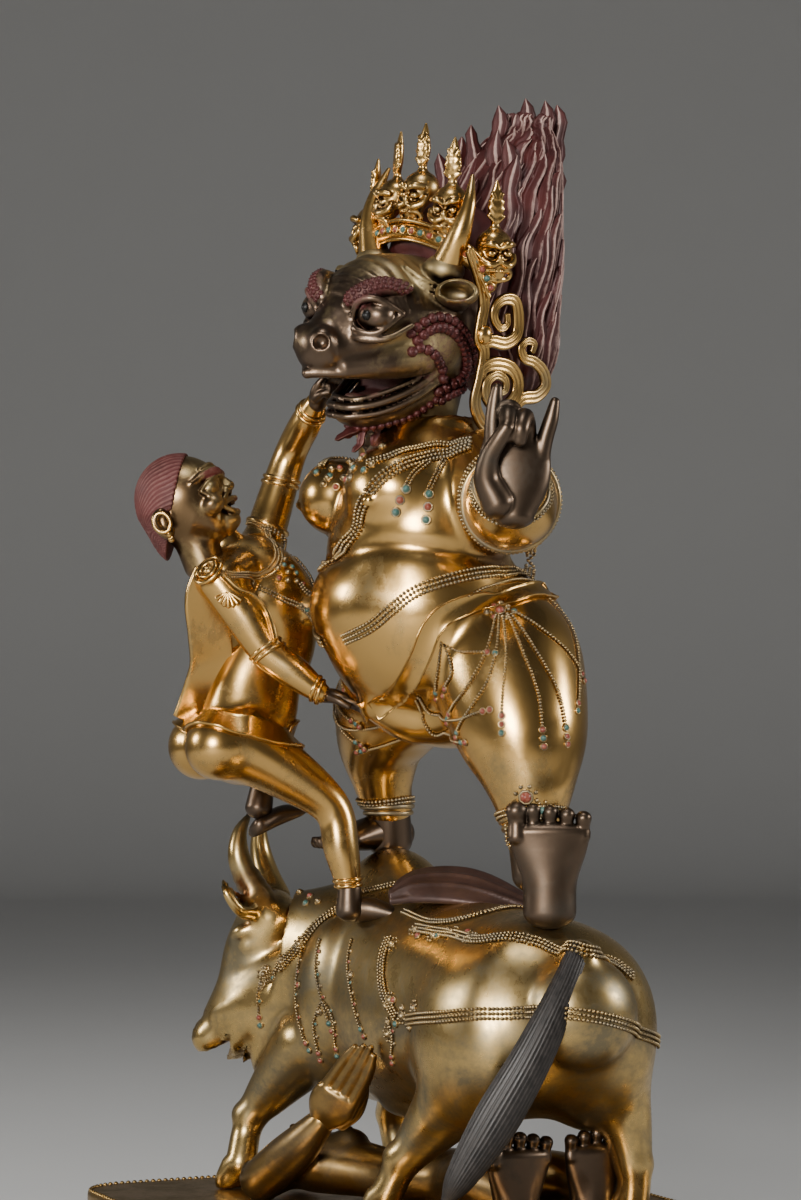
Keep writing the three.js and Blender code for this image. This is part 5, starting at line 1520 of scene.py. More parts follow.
def guardian_rings(lot, form):
    """Beaded wires round the wrists, the upper arms and the ankles, and the jewel on the left ankle."""
    lines = []
    for centre, axis, radius in ARM_RINGS:
        lines.append(cord(lot, form, ring(form, centre, axis, radius), 0.9, 2))
        hoop(lot, ring(form, np.array(centre) + unit(axis) * 3, axis, radius), 1.5, 1)
    for centre, axis, radius in ANKLE_RINGS:
        for step in (0, 4.4):
            hoop(lot, ring(form, np.array(centre) - np.array([0, 0, step]), axis, radius), 1.5, 1)
        lines.append(cord(lot, form, ring(form, np.array(centre) + [0, 0, 4], axis, radius), 0.9, 2))
    for place, size, middle in zip(struck(form, ANKLE_JEWEL), (3.4, 2.6, 2.6), (2, 3, 3)):
        rosette(lot, form, place, size, 1, middle)
    lines.append(cord(lot, form, struck(form, ANKLE_CORD), 0.9, 3))
    return lines


def build_guardian():
    """The body, with its ornaments traced on the side in view and mirrored to the other."""
    form = guardian_form()
    lot = Lot()
    lines = []
    for part in (guardian_cords, guardian_strands, guardian_chest, guardian_rings):
        lines += part(lot, form)
    lot.piece("Guardian's cords", finishes("Cord gilding", "Cord gilding", "Coral", "Turquoise"), ())
    lot = Lot()
    belt = struck(form, LOIN_BAND)
    for path in (*both_sides(form, belt), behind(form, belt, 64, 0)):
        band(lot, form, path, 5.8, 1.7)
    skin_of(lot, form, GUARDIAN_STEP, reach=8, ease=7, dusty=lines)
    lot.piece("Guardian", finishes("Guardian gilding"), ["yama_body"])


def build_limbs(parts, step, ankle_step):
    """Dark hands and feet, each one piece, with the stub of the ankle where a foot has one."""
    for name, form, cad_node, ankle in parts:
        lot = Lot()
        put(lot, form, step)
        if ankle:
            put(lot, Form().add(Limb(ankle, up=(0, 1, 0))), ankle_step)
        lot.piece(name, finishes("Dark bronze"), [cad_node])


def build_guardian_limbs():
    """The raised hand, the closed hand, the turned sole and the standing foot."""
    left_hand = hand_form(facing([123, -7, 430], UP, OUT), THREAT_PALM, THREAT_FINGERS)
    right_hand = hand_form(facing([-104, 20, 503], UP, [1, 0, 0]), (17, 8, 16), FIST_FINGERS)
    left_foot = foot_form(axes([108, 21.5, 242.5], ALONG, [0, 0, -1], -OUT), 1, 60, 23.5)
    right_foot = foot_form(axes([-90, 6, 247], [0.99, 0.1, 0], [-0.1, 0.99, 0], UP), -1, 58, 18)
    build_limbs((
        ("Guardian's left hand", left_hand, "yama_left_hand", None),
        ("Guardian's right hand", right_hand, "yama_right_hand", None),
        ("Guardian's left foot", left_foot, "yama_left_foot", [(84, 23, 262, 13, 13), (89, 22, 240, 12, 12)]),
        ("Guardian's right foot", right_foot, "yama_right_foot",
         [(-89, 20, 252, 12, 13), (-88, 18, 270, 13, 13)]),
    ), LIMB_STEP, 1.4)


def build_guardian_head():
    """The head's skin, with curls along the fringes, locks of beard and the pupils."""
    form = bull_head_form()
    lot = Lot(form.place)
    brows = [spline(struck(form, BROW_NEAR), 40)]
    brows += [line * [-1, 1, 1] for line in brows]
    skin_of(lot, form, HEAD_STEP, reach=4, tint=lambda p: head_red(p, brows), worn=head_worn)
    places, ups, sizes = curls(form)
    lot.copies(CURL, places + ups * 0.2, upright(ups), sizes, 1, ridge=0.3)
    for tuft in BEARD:
        line = spline(on_plane(tuft, HEAD_PLACE, (3, 0, 0), (1, 0, 0)), 12)
        lock(lot, line, 3.2, 2.6, (1, 0, 0), 1)
    pupils = np.array([(side * 25.4, -47.6, 11.4) for side in (1, -1)])
    places, ups = form.settle(pupils, 4)
    lot.copies(STONE, places - ups * 1.3, upright(ups), 3.2, 2)
    lot.piece("Guardian's head", finishes("Face bronze", "Head red", "Dark iron"), ["yama_head"])


MIRRORED = np.array([1, 0, 0])


def patch(points, centre, size, power=2):
    """A soft patch on both cheeks: e to the minus sum of the offsets over the sizes, each to a power."""
    local = (np.abs(points) * MIRRORED + points * (1 - MIRRORED) - centre) / size
    return np.exp(-(local**power).sum(1))


def head_worn(points):
    """Where hands have rubbed the bronze to olive gold: forehead, cheeks, jaw's corner and throat."""
    top = patch(points, (0, -8, 34), (np.inf, 24, 12))
    cheek = patch(points, (32, -18, -2), (14, 16, 11))
    corner = patch(points, (0, 10, -8), (np.inf, 12, 14))
    throat = patch(points, (0, 14, -48), (np.inf, 26, 16))
    return np.clip(top + cheek + 0.8 * corner + 0.5 * throat, 0, 1)


def head_red(points, brows):
    """Red on the brows, in the ears and eyes, on the gums and in the fringe's bed behind the mouth."""
    brow = near_lines(points, brows, 9.0) * 1.5
    ear = patch(points, (50, -4, 26), (7, 7, 6))
    gum = patch(points, (0, -16, -31), (18, 20, 7), 4)
    eye = patch(points, (26, -45, 11), (9, 7, 7), 4) * 0.3
    bed = patch(points, (32, -1, -10), (12, 20, 22), 4) * 0.45
    return np.clip(brow + ear + gum + bed + eye, 0, 1)


def build_horns():
    """Each horn: an oval that tapers along its curve."""
    for name, stations, cad_node in (("Left horn", BULL_HORN, "yama_left_horn"),
                                     ("Right horn", mirrored(BULL_HORN), "yama_right_horn")):
        form = Form(HEAD_PLACE).add(Limb(stations))
        lot = Lot(form.place)
        skin_of(lot, form, HORN_STEP)
        lot.piece(name, finishes("Horn gilding"), [cad_node])


def hair_mass_at(turn, level):
    """A place on the hair's mass: an angle round it, with its back at 90 degrees, and a level from 0 to 1."""
    rows = spline(HAIR_MASS, 61)
    index = np.clip(level, 0, 1.25) * 60
    row = np.stack([np.interp(index, np.arange(61), rows[:, k]) for k in range(5)], 1)
    row[:, 2] += np.maximum(index - 60, 0) * 2.7
    return np.stack([row[:, 0] + row[:, 3] * np.cos(turn), row[:, 1] + row[:, 4] * np.sin(turn), row[:, 2]],
                    1)


LOCK_OUTLINE = np.array([(1, -0.1), (0.62, 0.42), (0.3, 0.34), (0.1, 0.95), (-0.1, 0.95), (-0.3, 0.34),
                         (-0.62, 0.42), (-1, -0.1),
                         (-0.5, -0.5), (0.5, -0.5)])
LOCK_RUBBED_AND_HIGHLIT = np.array([0.5, 0.25, 0.1, 1.0, 1.0, 0.1, 0.25, 0.5, 0, 0])
HAIR_TIPS = [(-30, 50, 106), (-20, 54, 116), (-10, 55, 122), (0, 63, 134), (0, 84, 141), (0, 100, 142),
             (0, 110, 141)]


def lock(lot, line, wide, thick, up, finish=0):
    """A tapering lock: full from a quarter of its length, pointed at its tip, with a sharp ridge that is
    rubbed pale and carries a painted highlight.
    """
    t = np.linspace(0, 1, len(line))
    full = np.minimum(0.45 + 2.4 * t, 1) * np.sqrt(np.clip(1 - t**3, 0.004, 1))
    pulse = 1 + 0.2 * np.sin(t * 19 + line[0, 0])
    halves = np.stack([wide * full * pulse, thick * (0.35 + 0.65 * full)], 1)
    points, faces = tube(line, halves, up, profile=LOCK_OUTLINE, cap=0.5)
    rows = len(points) // len(LOCK_RUBBED_AND_HIGHLIT)
    fade = np.concatenate([np.zeros(3), t, np.ones(3)])[:, None]
    # The ridge value makes the crest of each lock pale: rubbed pigment and a painted highlight.
    lot.add(points, faces, finish, ridge=(LOCK_RUBBED_AND_HIGHLIT[None] * (0.45 + 0.55 * fade[:rows])).ravel())


def build_hair():
    """Locks in rows over the hair's mass. Each starts low and near the front, sways from side to side, drifts
    towards the back as it rises and lifts its tip; the tips of the top rows stand free."""
    form = hair_form()
    lot = Lot(form.place)
    skin_of(lot, form, HAIR_STEP)
    random = np.random.default_rng(5)
    t = np.linspace(0, 1, 13)
    axis_line = spline(HAIR_MASS, 61)
    for row, level in enumerate(np.arange(-0.05, 0.84, 0.08)):
        number = 15 if level < 0.6 else 13
        for k in range(number):
            start = 2 * np.pi * (k + 0.5 * (row % 2)) / number + random.normal(0, 0.06)
            back = (np.pi / 2 - start + np.pi) % (2 * np.pi) - np.pi
            drift = 0.34 * np.sin(back) + 0.1 * np.sin(2 * back)
            length = random.uniform(0.3, 0.38)
            sway = 0.07 * np.sin(t * 11 + random.uniform(0, 6))
            rise = np.minimum(level + length * t, 0.98 + 0.06 * t)
            line = hair_mass_at(start + drift * t + sway * t, rise)
            middle = axis_line[np.clip(rise * 60, 0, 60).astype(int), :3]
            out = unit((line - middle) * [1, 1, 0.2])
            line = line + out * (0.4 + 3.6 * t**2)[:, None]
            lock(lot, line, random.uniform(5.2, 6.6), 3.0, out)
    for x, y, z in HAIR_TIPS + [(-x, y, z - 3) for x, y, z in HAIR_TIPS[:3]]:
        tip = np.array([x, y, z], float)
        root = np.array([x * 0.9 + 4, y - 12 + 0.14 * (z - 100), z - 58])
        line = root + (tip - root) * t[:, None]
        line[:, 1] += 4 * np.sin(t * np.pi)
        line[:, :2] += 1.6 * np.sin(t * 9 + x)[:, None] * np.array([0.7, 0.7])
        lock(lot, line, 6.6, 3.6, (0.73, -0.68, 0.1))
    lot.piece("Guardian's hair", finishes("Hair red"), ["yama_hair"])


SKULL_SIZE = 1.12
SKULL_PLACES = [(-43, 14, 54, -62), (-23, 12, 70, -28), (0, 10, 75.5, 0), (23, 12, 69, 28), (45, 26, 47, 66)]
DIADEM = [(-46, 22, 28), (-43, 16, 40), (-26, 9, 51), (0, 5, 56), (26, 9, 51), (43, 16, 40), (46, 22, 28)]


def crown_skull():
    """A small fierce skull: domed brow, ringed sockets, cheeks that curl like moustaches, a leaf on top."""
    form = Form().add(Ball((0, 1, 3), (9, 9, 8.6)))
    form.add(Limb([(0, -2, -1, 7.5, 6.5), (0, -4, -8, 5.8, 4.4), (0, -4, -12, 4, 3)], up=(0, 1, 0)), 3)
    both(form, [(1.2, -8.6, 2.4, 1.3), (4.6, -8.4, 4.4, 1.9), (8.4, -4.6, 4, 1.3)], 1)
    both_balls(form, (3.9, -8.6, -0.4), (3.3, 3.2, 2.9), 0.8, cut=True)
    both_balls(form, (3.9, -6.8, -0.3), (2.3, 2.1, 2.1), 0.4)
    form.add(Ball((0, -9, -2.4), (1.8, 1.9, 2.2)), 0.8)
    both(form, [(1.2, -9.3, -4.8, 1.2), (4.6, -8.6, -5.8, 1.9), (7.8, -5.4, -4, 2.0), (8.6, -3.6, -1, 1.6)],
         1.2)
    both(form, [(1.5, -8.6, -8.8, 0.8), (4.6, -7.4, -8.4, 1.2), (7, -5.2, -9.6, 1.3), (6, -4.6, -12.4, 1.2),
                (0, -5.8, -13.6, 1.4)], 0.6)
    form.cut(Limb([(-4.2, -8.6, -10.2, 1, 0.7), (4.2, -8.6, -10.2, 1, 0.7)], up=(0, 0, 1)), 0.5)
    form.add(Limb([(0, 1, 10, 4.4, 3), (0, 1, 12.6, 2.4, 2)], up=(0, 1, 0)), 1)
    form.add(Limb([(0, 1, 14, 2.2, 1.6), (0, 1, 21, 4.2, 2.4), (0, 1.4, 28, 3, 1.8), (0, 1.6, 35, 0.6, 0.6)],
                  up=(0, 1, 0)), 1)
    for k in range(4):
        both(form, [(1.2, -0.6, 15 + 3.6 * k, 0.9), (3.9 - 0.4 * k, 0.2, 17.6 + 3.6 * k, 1.1)], 0.9)
    return form


def build_crown():
    """Five skulls on a jewelled band. One skull is modelled, then set along the band."""
    lot = Lot(HEAD_PLACE)
    points, faces, normals = skinned(crown_skull(), voxel(SKULL_STEP))
    # Painted shade in the skulls' hollows, through the hollow value.
    shade = hollowness(crown_skull(), points, normals, 2.0)
    for x, y, z, turn in SKULL_PLACES:
        origin, trio = turned((x, y, z), turn, 0, 0)
        lot.add(points * SKULL_SIZE @ trio.T + origin, faces, 0, normals @ trio.T, hollow=shade)
    form = Form().add(Limb([(*p, 4.6, 6) for p in DIADEM], up=(0, 1, 0.3)))
    skin_of(lot, form, DIADEM_STEP)
    line = spline(DIADEM, 60)
    out = unit(line * [1, 1, 0] - [0, 46, 0])
    for rise in (-5.2, 5.2):
        rim = line + out * 3.4 + [0, 0, rise]
        points, faces = tube(rim, np.full((60, 2), 1.3))
        lot.add(points, faces)
    beads = evenly(line, 5.6)
    ahead = unit(beads * [1, 1, 0] - [0, 46, 0])
    stones(lot, form, beads + ahead * 6, 2.0, 0, (1, 2), 0)
    lot.piece("Diadem", finishes("Crown gilding", "Coral", "Turquoise"), ["yama_crown"])


def on_plane(pixels, place, point, axis):
    """Where lines of sight meet a plane, in a frame's own lengths."""
    origin, trio = place
    start = (VIEW_FROM - origin) @ trio
    ways = rays(pixels) @ trio
    axis = unit(axis)
    reach = ((np.asarray(point, float) - start) @ axis) / (ways @ axis)
    return start + ways * reach[:, None]


# Ribbon scrolls beside the ear, as picture points
RIBBON_STRIP = [(469, 250), (478, 275), (484, 300), (481, 322), (479, 338), (484, 352), (480, 378),
                (475, 402), (480, 420), (489, 430)]
RIBBON_CURL_HIGH = [(482, 345), (492, 341), (505, 343), (516, 335), (518, 318), (515, 302), (505, 299),
                    (496, 306), (494, 318),
                    (500, 328), (507, 324), (507, 314)]
RIBBON_CURL_LOW = [(482, 372), (488, 366), (498, 364), (510, 368), (517, 379), (516, 394), (506, 406),
                   (494, 406), (486, 396),
                   (487, 382), (496, 375), (505, 380), (505, 390), (498, 394)]
RIBBON_TAIL = [(500, 412), (512, 408), (523, 398), (536, 396), (545, 386), (543, 372), (534, 362),
               (524, 358), (521, 348), (527, 341),
               (534, 344), (532, 352)]


def ribbon_outline():
    """A flat ribbon's edge line with three raised ribs across its face and its back."""
    across = np.linspace(1, -1, 13)
    rise = (0.55 + 0.45 * np.abs(np.cos(across * np.pi * 1.5))) * np.sqrt(np.clip(1 - across**8, 0.05, 1))
    face = np.stack([across, rise], 1)
    return np.vstack([face, -face[1:-1]])


def build_ribbons():
    """Grooved scrolls on a plane beside the head, thin across it and thinning towards their ends."""
    for name, side, cad_node in (("Left ribbon", 1, "yama_left_ribbon"),
                                 ("Right ribbon", -1, "yama_right_ribbon")):
        lot = Lot(HEAD_PLACE)
        for run, half, lift in ((RIBBON_STRIP, 4.0, 0.0), (RIBBON_CURL_HIGH, 4.2, 1.2),
                                (RIBBON_CURL_LOW, 4.5, 1.2),
                                (RIBBON_TAIL, 4.2, 0.4)):
            line = on_plane(run, HEAD_PLACE, (46 + lift, 20, 0), (1, 0, 0))
            line = spline(line, len(run) * 6)
            t = np.linspace(0, 1, len(line))
            taper = np.minimum(0.75 + t * 2, 1) * (1 - 0.55 * np.clip(t * 1.6 - 0.6, 0, 1) * (lift > 0))
            line[:, 0] = 46 + lift * np.minimum(t * 5, 1)
            line[:, 0] *= side
            halves = np.stack([half * taper, 1.7 * np.sqrt(taper)], 1)
            points, faces = tube(line, halves, (1, 0, 0), profile=ribbon_outline())
            # Painted shade: the hollow value is high in the grooves between the ribs, so the material darkens
            # them.
            rib = np.tile(np.abs(ribbon_outline()[:, 1]), len(points) // 24)
            lot.add(points, faces, hollow=np.clip(1.5 - 1.6 * rib, 0, 1))
        boss = Form().add(Ball((side * 47, 20, 2), (4, 5, 5.5)))
        skin_of(lot, boss, BOSS_STEP)
        lot.piece(name, finishes("Crown gilding"), [cad_node])


# The consort's ornaments on the side that the camera sees, as picture points
CONSORT_COLLAR = [(240, 521), (253, 524), (265, 532), (273, 544), (275, 556), (269, 567), (257, 573),
                  (238, 573), (222, 571)]
CONSORT_CORDS = [
    [(263, 528), (285, 546), (301, 560), (313, 572), (321, 586), (327, 604), (329, 618)],
    [(252, 582), (269, 592), (285, 600), (299, 606), (311, 616), (318, 630)],
    [(300, 584), (312, 596), (323, 602)],
]
CONSORT_STONES = [(278, 568), (284, 565), (288, 572), (279, 578), (288, 580), (296, 573), (297, 581),
                  (303, 584), (301, 606), (307, 610),
                  (313, 615), (318, 590), (324, 602), (327, 612), (318, 622), (320, 632), (285, 559),
                  (292, 567)]
NECKLINE = [(222, 575), (237, 590), (252, 597), (264, 610), (271, 628), (276, 645)]
BROOCH = (209, 571)
ARMLET = ((-90, -57, 434), (0.05, 0.4, 1), 12)
SHELL = (228, 592)
CONSORT_RINGS = [((-35, -81, 362), (0.3, 0.5, -0.8), 12), ((-22, -56, 340), (0.5, 0.75, -0.4), 8),
                 ((-90, -49, 459), (0.1, 0.2, 1), 11),
                 ((-67, -41, 498), (0.8, 0.05, 0.6), 8), ((-40, -29, 233), (0, 0.1, -1),
                                                          8), ((-112, -51, 290), (0.1, 0, -1), 8)]


def consort_cords(lot, form):
    """The collar of three cords round the breast, two long cords with stones, the neckline and the rings."""
    lines = []
    collar = struck(form, CONSORT_COLLAR)
    out = unit(collar - collar.mean(0))
    for step in (0.0, 2.6, 5.2):
        lines.append(cord(lot, form, form.settle(collar + out * step, 3, limit=3)[0], 0.55, 1))
    band(lot, form, form.settle(collar + out * 3.9, 3, limit=3)[0], 1.0, 0.7)
    for run in CONSORT_CORDS:
        lines.append(cord(lot, form, struck(form, run), 0.75, 2))
    lines.append(stones(lot, form, struck(form, CONSORT_STONES), 1.5, 1, (1, 3, 1, 2)))
    band(lot, form, struck(form, NECKLINE), 1.6, 1.2)
    for centre, axis, radius in CONSORT_RINGS:
        hoop(lot, ring(form, centre, axis, radius), 1.3)
        hoop(lot, ring(form, np.array(centre) + unit(axis) * 3.2, axis, radius), 1.3)
    hoop(lot, ring(form, *ARMLET), 1.8)
    return lines


def consort_brooch(lot, form):
    """Two oval wires round a whorl on the shoulder."""
    brooch = struck(form, [BROOCH])
    for size, lift in ((7.6, 0.6), (4.6, 1.4)):
        place, normal = form.settle(brooch, 2)
        trio = upright(normal)[0]
        a = np.linspace(0, 2 * np.pi, 40)
        oval_line = np.stack([np.cos(a), 1.15 * np.sin(a)], 1) @ trio[:, :2].T
        hoop(lot, place + normal * lift + size * oval_line, 1.3)
    lot.copies(CURL, place + normal * 0.2, trio[None], 3.6, 0)
    lot.copies(COLLET, place + normal * 0.2, trio[None], 5.4, 0)


def consort_shell(lot, form):
    """A fan of seven ribs that spread from one place on the hip."""
    place, normal = form.settle(struck(form, [SHELL]), 2)
    trio = upright(normal, (0, 0, 1))[0]
    halves = np.stack([np.linspace(0.6, 1.5, 10), np.linspace(0.8, 1.4, 10)], 1)
    for k in range(7):
        a = math.radians(-150 + 20 * k)
        tip = place[0] + 8.5 * (math.cos(a) * trio[:, 0] + math.sin(a) * trio[:, 1])
        start = place[0] + normal[0] * 1.2
        line = form.settle(start + (tip - start) * np.linspace(0.1, 1, 10)[:, None], 2)[0] + normal[0] * 0.6
        lot.add(*tube(line, halves, normal[0]))


def build_consort():
    """The body's skin with its ornaments, dusty along the cords."""
    lot = Lot()
    form = consort_form()
    lines = consort_cords(lot, form)
    consort_brooch(lot, form)
    consort_shell(lot, form)
    skin_of(lot, form, CONSORT_STEP, reach=5, ease=4, dusty=lines)
    finish = finishes("Consort gilding", "Cord gilding", "Coral", "Turquoise")
    lot.piece("Consort", finish, ["consort_body"])


def build_consort_limbs():
    """The open hand, the gripping hand and both feet."""
    right_hand = hand_form(facing([-19, -52, 336], [0.45, 0.85, -0.25], [0.2, 0, -1]), (8, 4, 8),
                           OPEN_FINGERS, 0.8)
    left_hand = hand_form(facing([-58, -40, 503], [0.5, 0.3, 0.8], [0.6, 0.3, -0.5]), (9.5, 4.6, 10),
                          GRIP_FINGERS, 0.8)
    right_foot = foot_form(axes([-36, -14, 209], [-0.9, 0.42, 0], [-0.42, -0.9, 0], UP), 1, 40, 11)
    left_foot = foot_form(axes([-110, -44, 261], [-0.99, -0.14, 0], [0.13, -0.92, -0.37],
                               [-0.05, 0.37, 0.93]), -1, 40, 11)
    build_limbs((
        ("Consort's right hand", right_hand, "consort_right_hand", None),
        ("Consort's left hand", left_hand, "consort_left_hand", None),
        ("Consort's right foot", right_foot, "consort_right_foot",
         [(-40, -28, 228, 6.8), (-40, -28, 216, 8)]),
        ("Consort's left foot", left_foot, "consort_left_foot", [(-112, -51, 286, 6.8), (-111, -54, 272, 8)]),
    ), CONSORT_LIMB_STEP, 1.1)


def consort_red(points):
    """Red on the brows and the lips."""
    x, y, z = np.abs(points[:, 0]), points[:, 1], points[:, 2]
    brow = np.exp(-(((x - 11) / 8) ** 4 + ((z - 11.2 + 0.01 * (x - 10) ** 2) / 2.6) ** 4)) * (y < -6)
    lips = patch(points, (0, 0, -9.5), (9, np.inf, 5), 4) * (y < -17) * 0.55
    return np.clip(brow + lips, 0, 1)


def consort_worn(points):
    """Bronze rubbed to gold over the forehead, the nose and the cheeks."""
    return np.clip(np.exp(-(((points[:, 1] + 22) / 10) ** 2)) * 0.8, 0, 1)


def build_consort_head():
    """The head and its combed cap of hair: the cap's skin raised by a sine of the angle round it."""
    form = consort_head_form()
    lot = Lot(form.place)
    skin_of(lot, form, CONSORT_HEAD_STEP, reach=2.5, tint=consort_red, worn=consort_worn)
    hair = consort_hair_form()
    points, faces, normals = skinned(hair, voxel(CONSORT_HAIR_STEP))
    comb = np.abs(np.sin(38 * np.arctan2(points[:, 0], points[:, 2] + 6) + 0.5 * np.sin(points[:, 1] * 0.35)))
    points = points + normals * (0.55 * comb - 0.35)[:, None]
    # The combed ridges are paler: rubbed pigment and a painted highlight.
    lot.add(points, faces, 1, ridge=comb * 0.75)
    for side in (1, -1):
        a = np.linspace(0, 2 * np.pi, 30)
        line = np.stack([side * (25.5 + 0 * a), 15.5 + 4.6 * np.cos(a), -5 + 5.6 * np.sin(a)], 1)
        hoop(lot, line, 1.2, 2)
        drop = np.array([(side * 24.5, 14.5, -12.5 - 3 * k) for k in range(2)])
        lot.copies(CURL, drop, upright(np.tile([side, 0, 0.0], (2, 1))), 2.0, 2)
    lot.piece("Consort's head", finishes("Consort face", "Consort red", "Crown gilding"), ["consort_head"])


SCARF_BACK = [(-50, -105, 404), (-54, -109, 390), (-60, -105, 372), (-67, -101, 354), (-73, -103, 338),
              (-78, -107, 322)]
FLAT_OUTLINE = np.array([(1, 0.5), (0.9, 1.2), (0.72, 0.5), (-0.72, 0.5), (-0.9, 1.2), (-1, 0.5), (-1, -0.5),
                         (1, -0.5)])


def build_scarf():
    """A scarf with rolled edges that falls from the shoulder behind the back, and its band round the hips."""
    lot = Lot()
    line = spline(SCARF_BACK, 60)
    points, faces = tube(line, np.full((60, 2), (12.5, 1.8)), OUT + 0.35 * ALONG, profile=FLAT_OUTLINE)
    lot.add(points, faces)
    form = consort_form()
    hips = ring(form, (-72, -80, 321), (0.06, 0.16, 1), 36, 90)[:-1]
    ahead = unit(np.roll(hips, -1, 0) - np.roll(hips, 1, 0))
    up = unit(np.cross(form.settle(hips, 1)[1], ahead))
    up = up * np.sign(up[:, 2:])
    out = unit(np.cross(ahead, up))
    out = out * np.sign((out * (hips - hips.mean(0))).sum(1, keepdims=True))
    profile = np.array([(-1.0, -6.4), (1.6, -6.8), (2.2, -5.8), (1.5, -4.8), (1.5, 4.8), (2.2, 5.8),
                        (1.6, 6.8), (-1.0, 6.4)])
    grid = hips[:, None] + out[:, None] * profile[None, :, :1] + up[:, None] * profile[None, :, 1:]
    lot.add(grid.reshape(-1, 3), sheet_faces(len(hips), 8, True, True)[:, ::-1])
    lot.piece("Consort's scarf", finishes("Consort gilding"), ["consort_scarf"])


FLOOR_RINGS = [1, 300, 1200, 2600]
FLOOR_RADIUS = 4200
FLOOR_BEND = 900  # radius of the bend from the floor into the wall
WALL_TOP = 6000
LAMP_TARGET = (0, 0, 420)
LAMPS = (
    ("Key lamp", (1500, -1500, 800), 600, 1.0, (1.0, 0.975, 0.94)),
    ("Side lamp", (900, 1500, 900), 450, 0.34, (1.0, 0.985, 0.96)),
    ("Front lamp", (-700, -1700, 900), 450, 0.26, (1.0, 0.985, 0.96)),
    ("Top lamp", (500, -300, 1900), 350, 0.14, (1.0, 1.0, 1.0)),
)


def aimed(place, target):
    """The rows of a placement in metres whose -Z axis points from the place to the target."""
    z = unit(np.asarray(place, float) - target)
    x = unit(np.cross(UP, z))
    trio = np.stack([x, np.cross(z, x), z, np.asarray(place, float) / 1000], 1)
    return np.vstack([trio, [0, 0, 0, 1]]).tolist()


def build_floor():
    """A pale round floor that curves up into a low wall: rings of the radius and height of its section."""
    bend = np.linspace(0, np.pi / 2, 12)
    reach = np.concatenate([FLOOR_RINGS, FLOOR_RADIUS + FLOOR_BEND * np.sin(bend),
                            [FLOOR_RADIUS + FLOOR_BEND]])
    rise = np.concatenate([np.zeros(len(FLOOR_RINGS)), FLOOR_BEND - FLOOR_BEND * np.cos(bend), [WALL_TOP]])
    sides = 96
    turn = 2 * np.pi * np.arange(sides) / sides
    ring = np.stack([np.cos(turn), np.sin(turn), 0 * turn], 1)
    grid = ring * reach[:, None, None] + UP * rise[:, None, None]
    faces = sheet_faces(len(reach), sides, round_columns=True).tolist()
    mesh = bpy.data.meshes.new("Floor")
    mesh.from_pydata((grid.reshape(-1, 3) / 1000).tolist(), [], faces)
    mesh.polygons.foreach_set("use_smooth", np.ones(len(faces), bool))
    mesh.materials.append(bpy.data.materials["Pale floor"])
    floor = bpy.data.objects.new("Floor", mesh)
    bpy.context.scene.collection.objects.link(floor)


def build_stage():
    """The floor, the soft lamps, the dim surroundings and the camera."""
    chosen = settings()
    build_floor()
    for name, place, size, share, tone in LAMPS:
        data = bpy.data.lights.new(name, "AREA")
        data.shape = "DISK"
        data.size = size / 1000
        data.energy = chosen.lamp_power * share
        data.color = tone
        lamp = bpy.data.objects.new(name, data)
        bpy.context.scene.collection.objects.link(lamp)
        lamp.matrix_world = Matrix(aimed(place, LAMP_TARGET))
        lamp.visible_camera = False
    world = bpy.data.worlds.new("Studio")
    world.use_nodes = True
    world.node_tree.nodes["Background"].inputs[0].default_value = (*chosen.surround_colour, 1)
    bpy.context.scene.world = world
    data = bpy.data.cameras.new("Camera")
    data.lens = chosen.camera_lens
    data.sensor_width = SENSOR
    data.clip_start, data.clip_end = 0.05, 50
    camera = bpy.data.objects.new("Camera", data)
    bpy.context.scene.collection.objects.link(camera)
    camera.location = VIEW_FROM / 1000
    camera.rotation_euler = (math.pi / 2 + VIEW_RISE, 0, VIEW_TURN)
    bpy.context.scene.camera = camera


def shade(colour, share):
    return [c * share for c in colour]


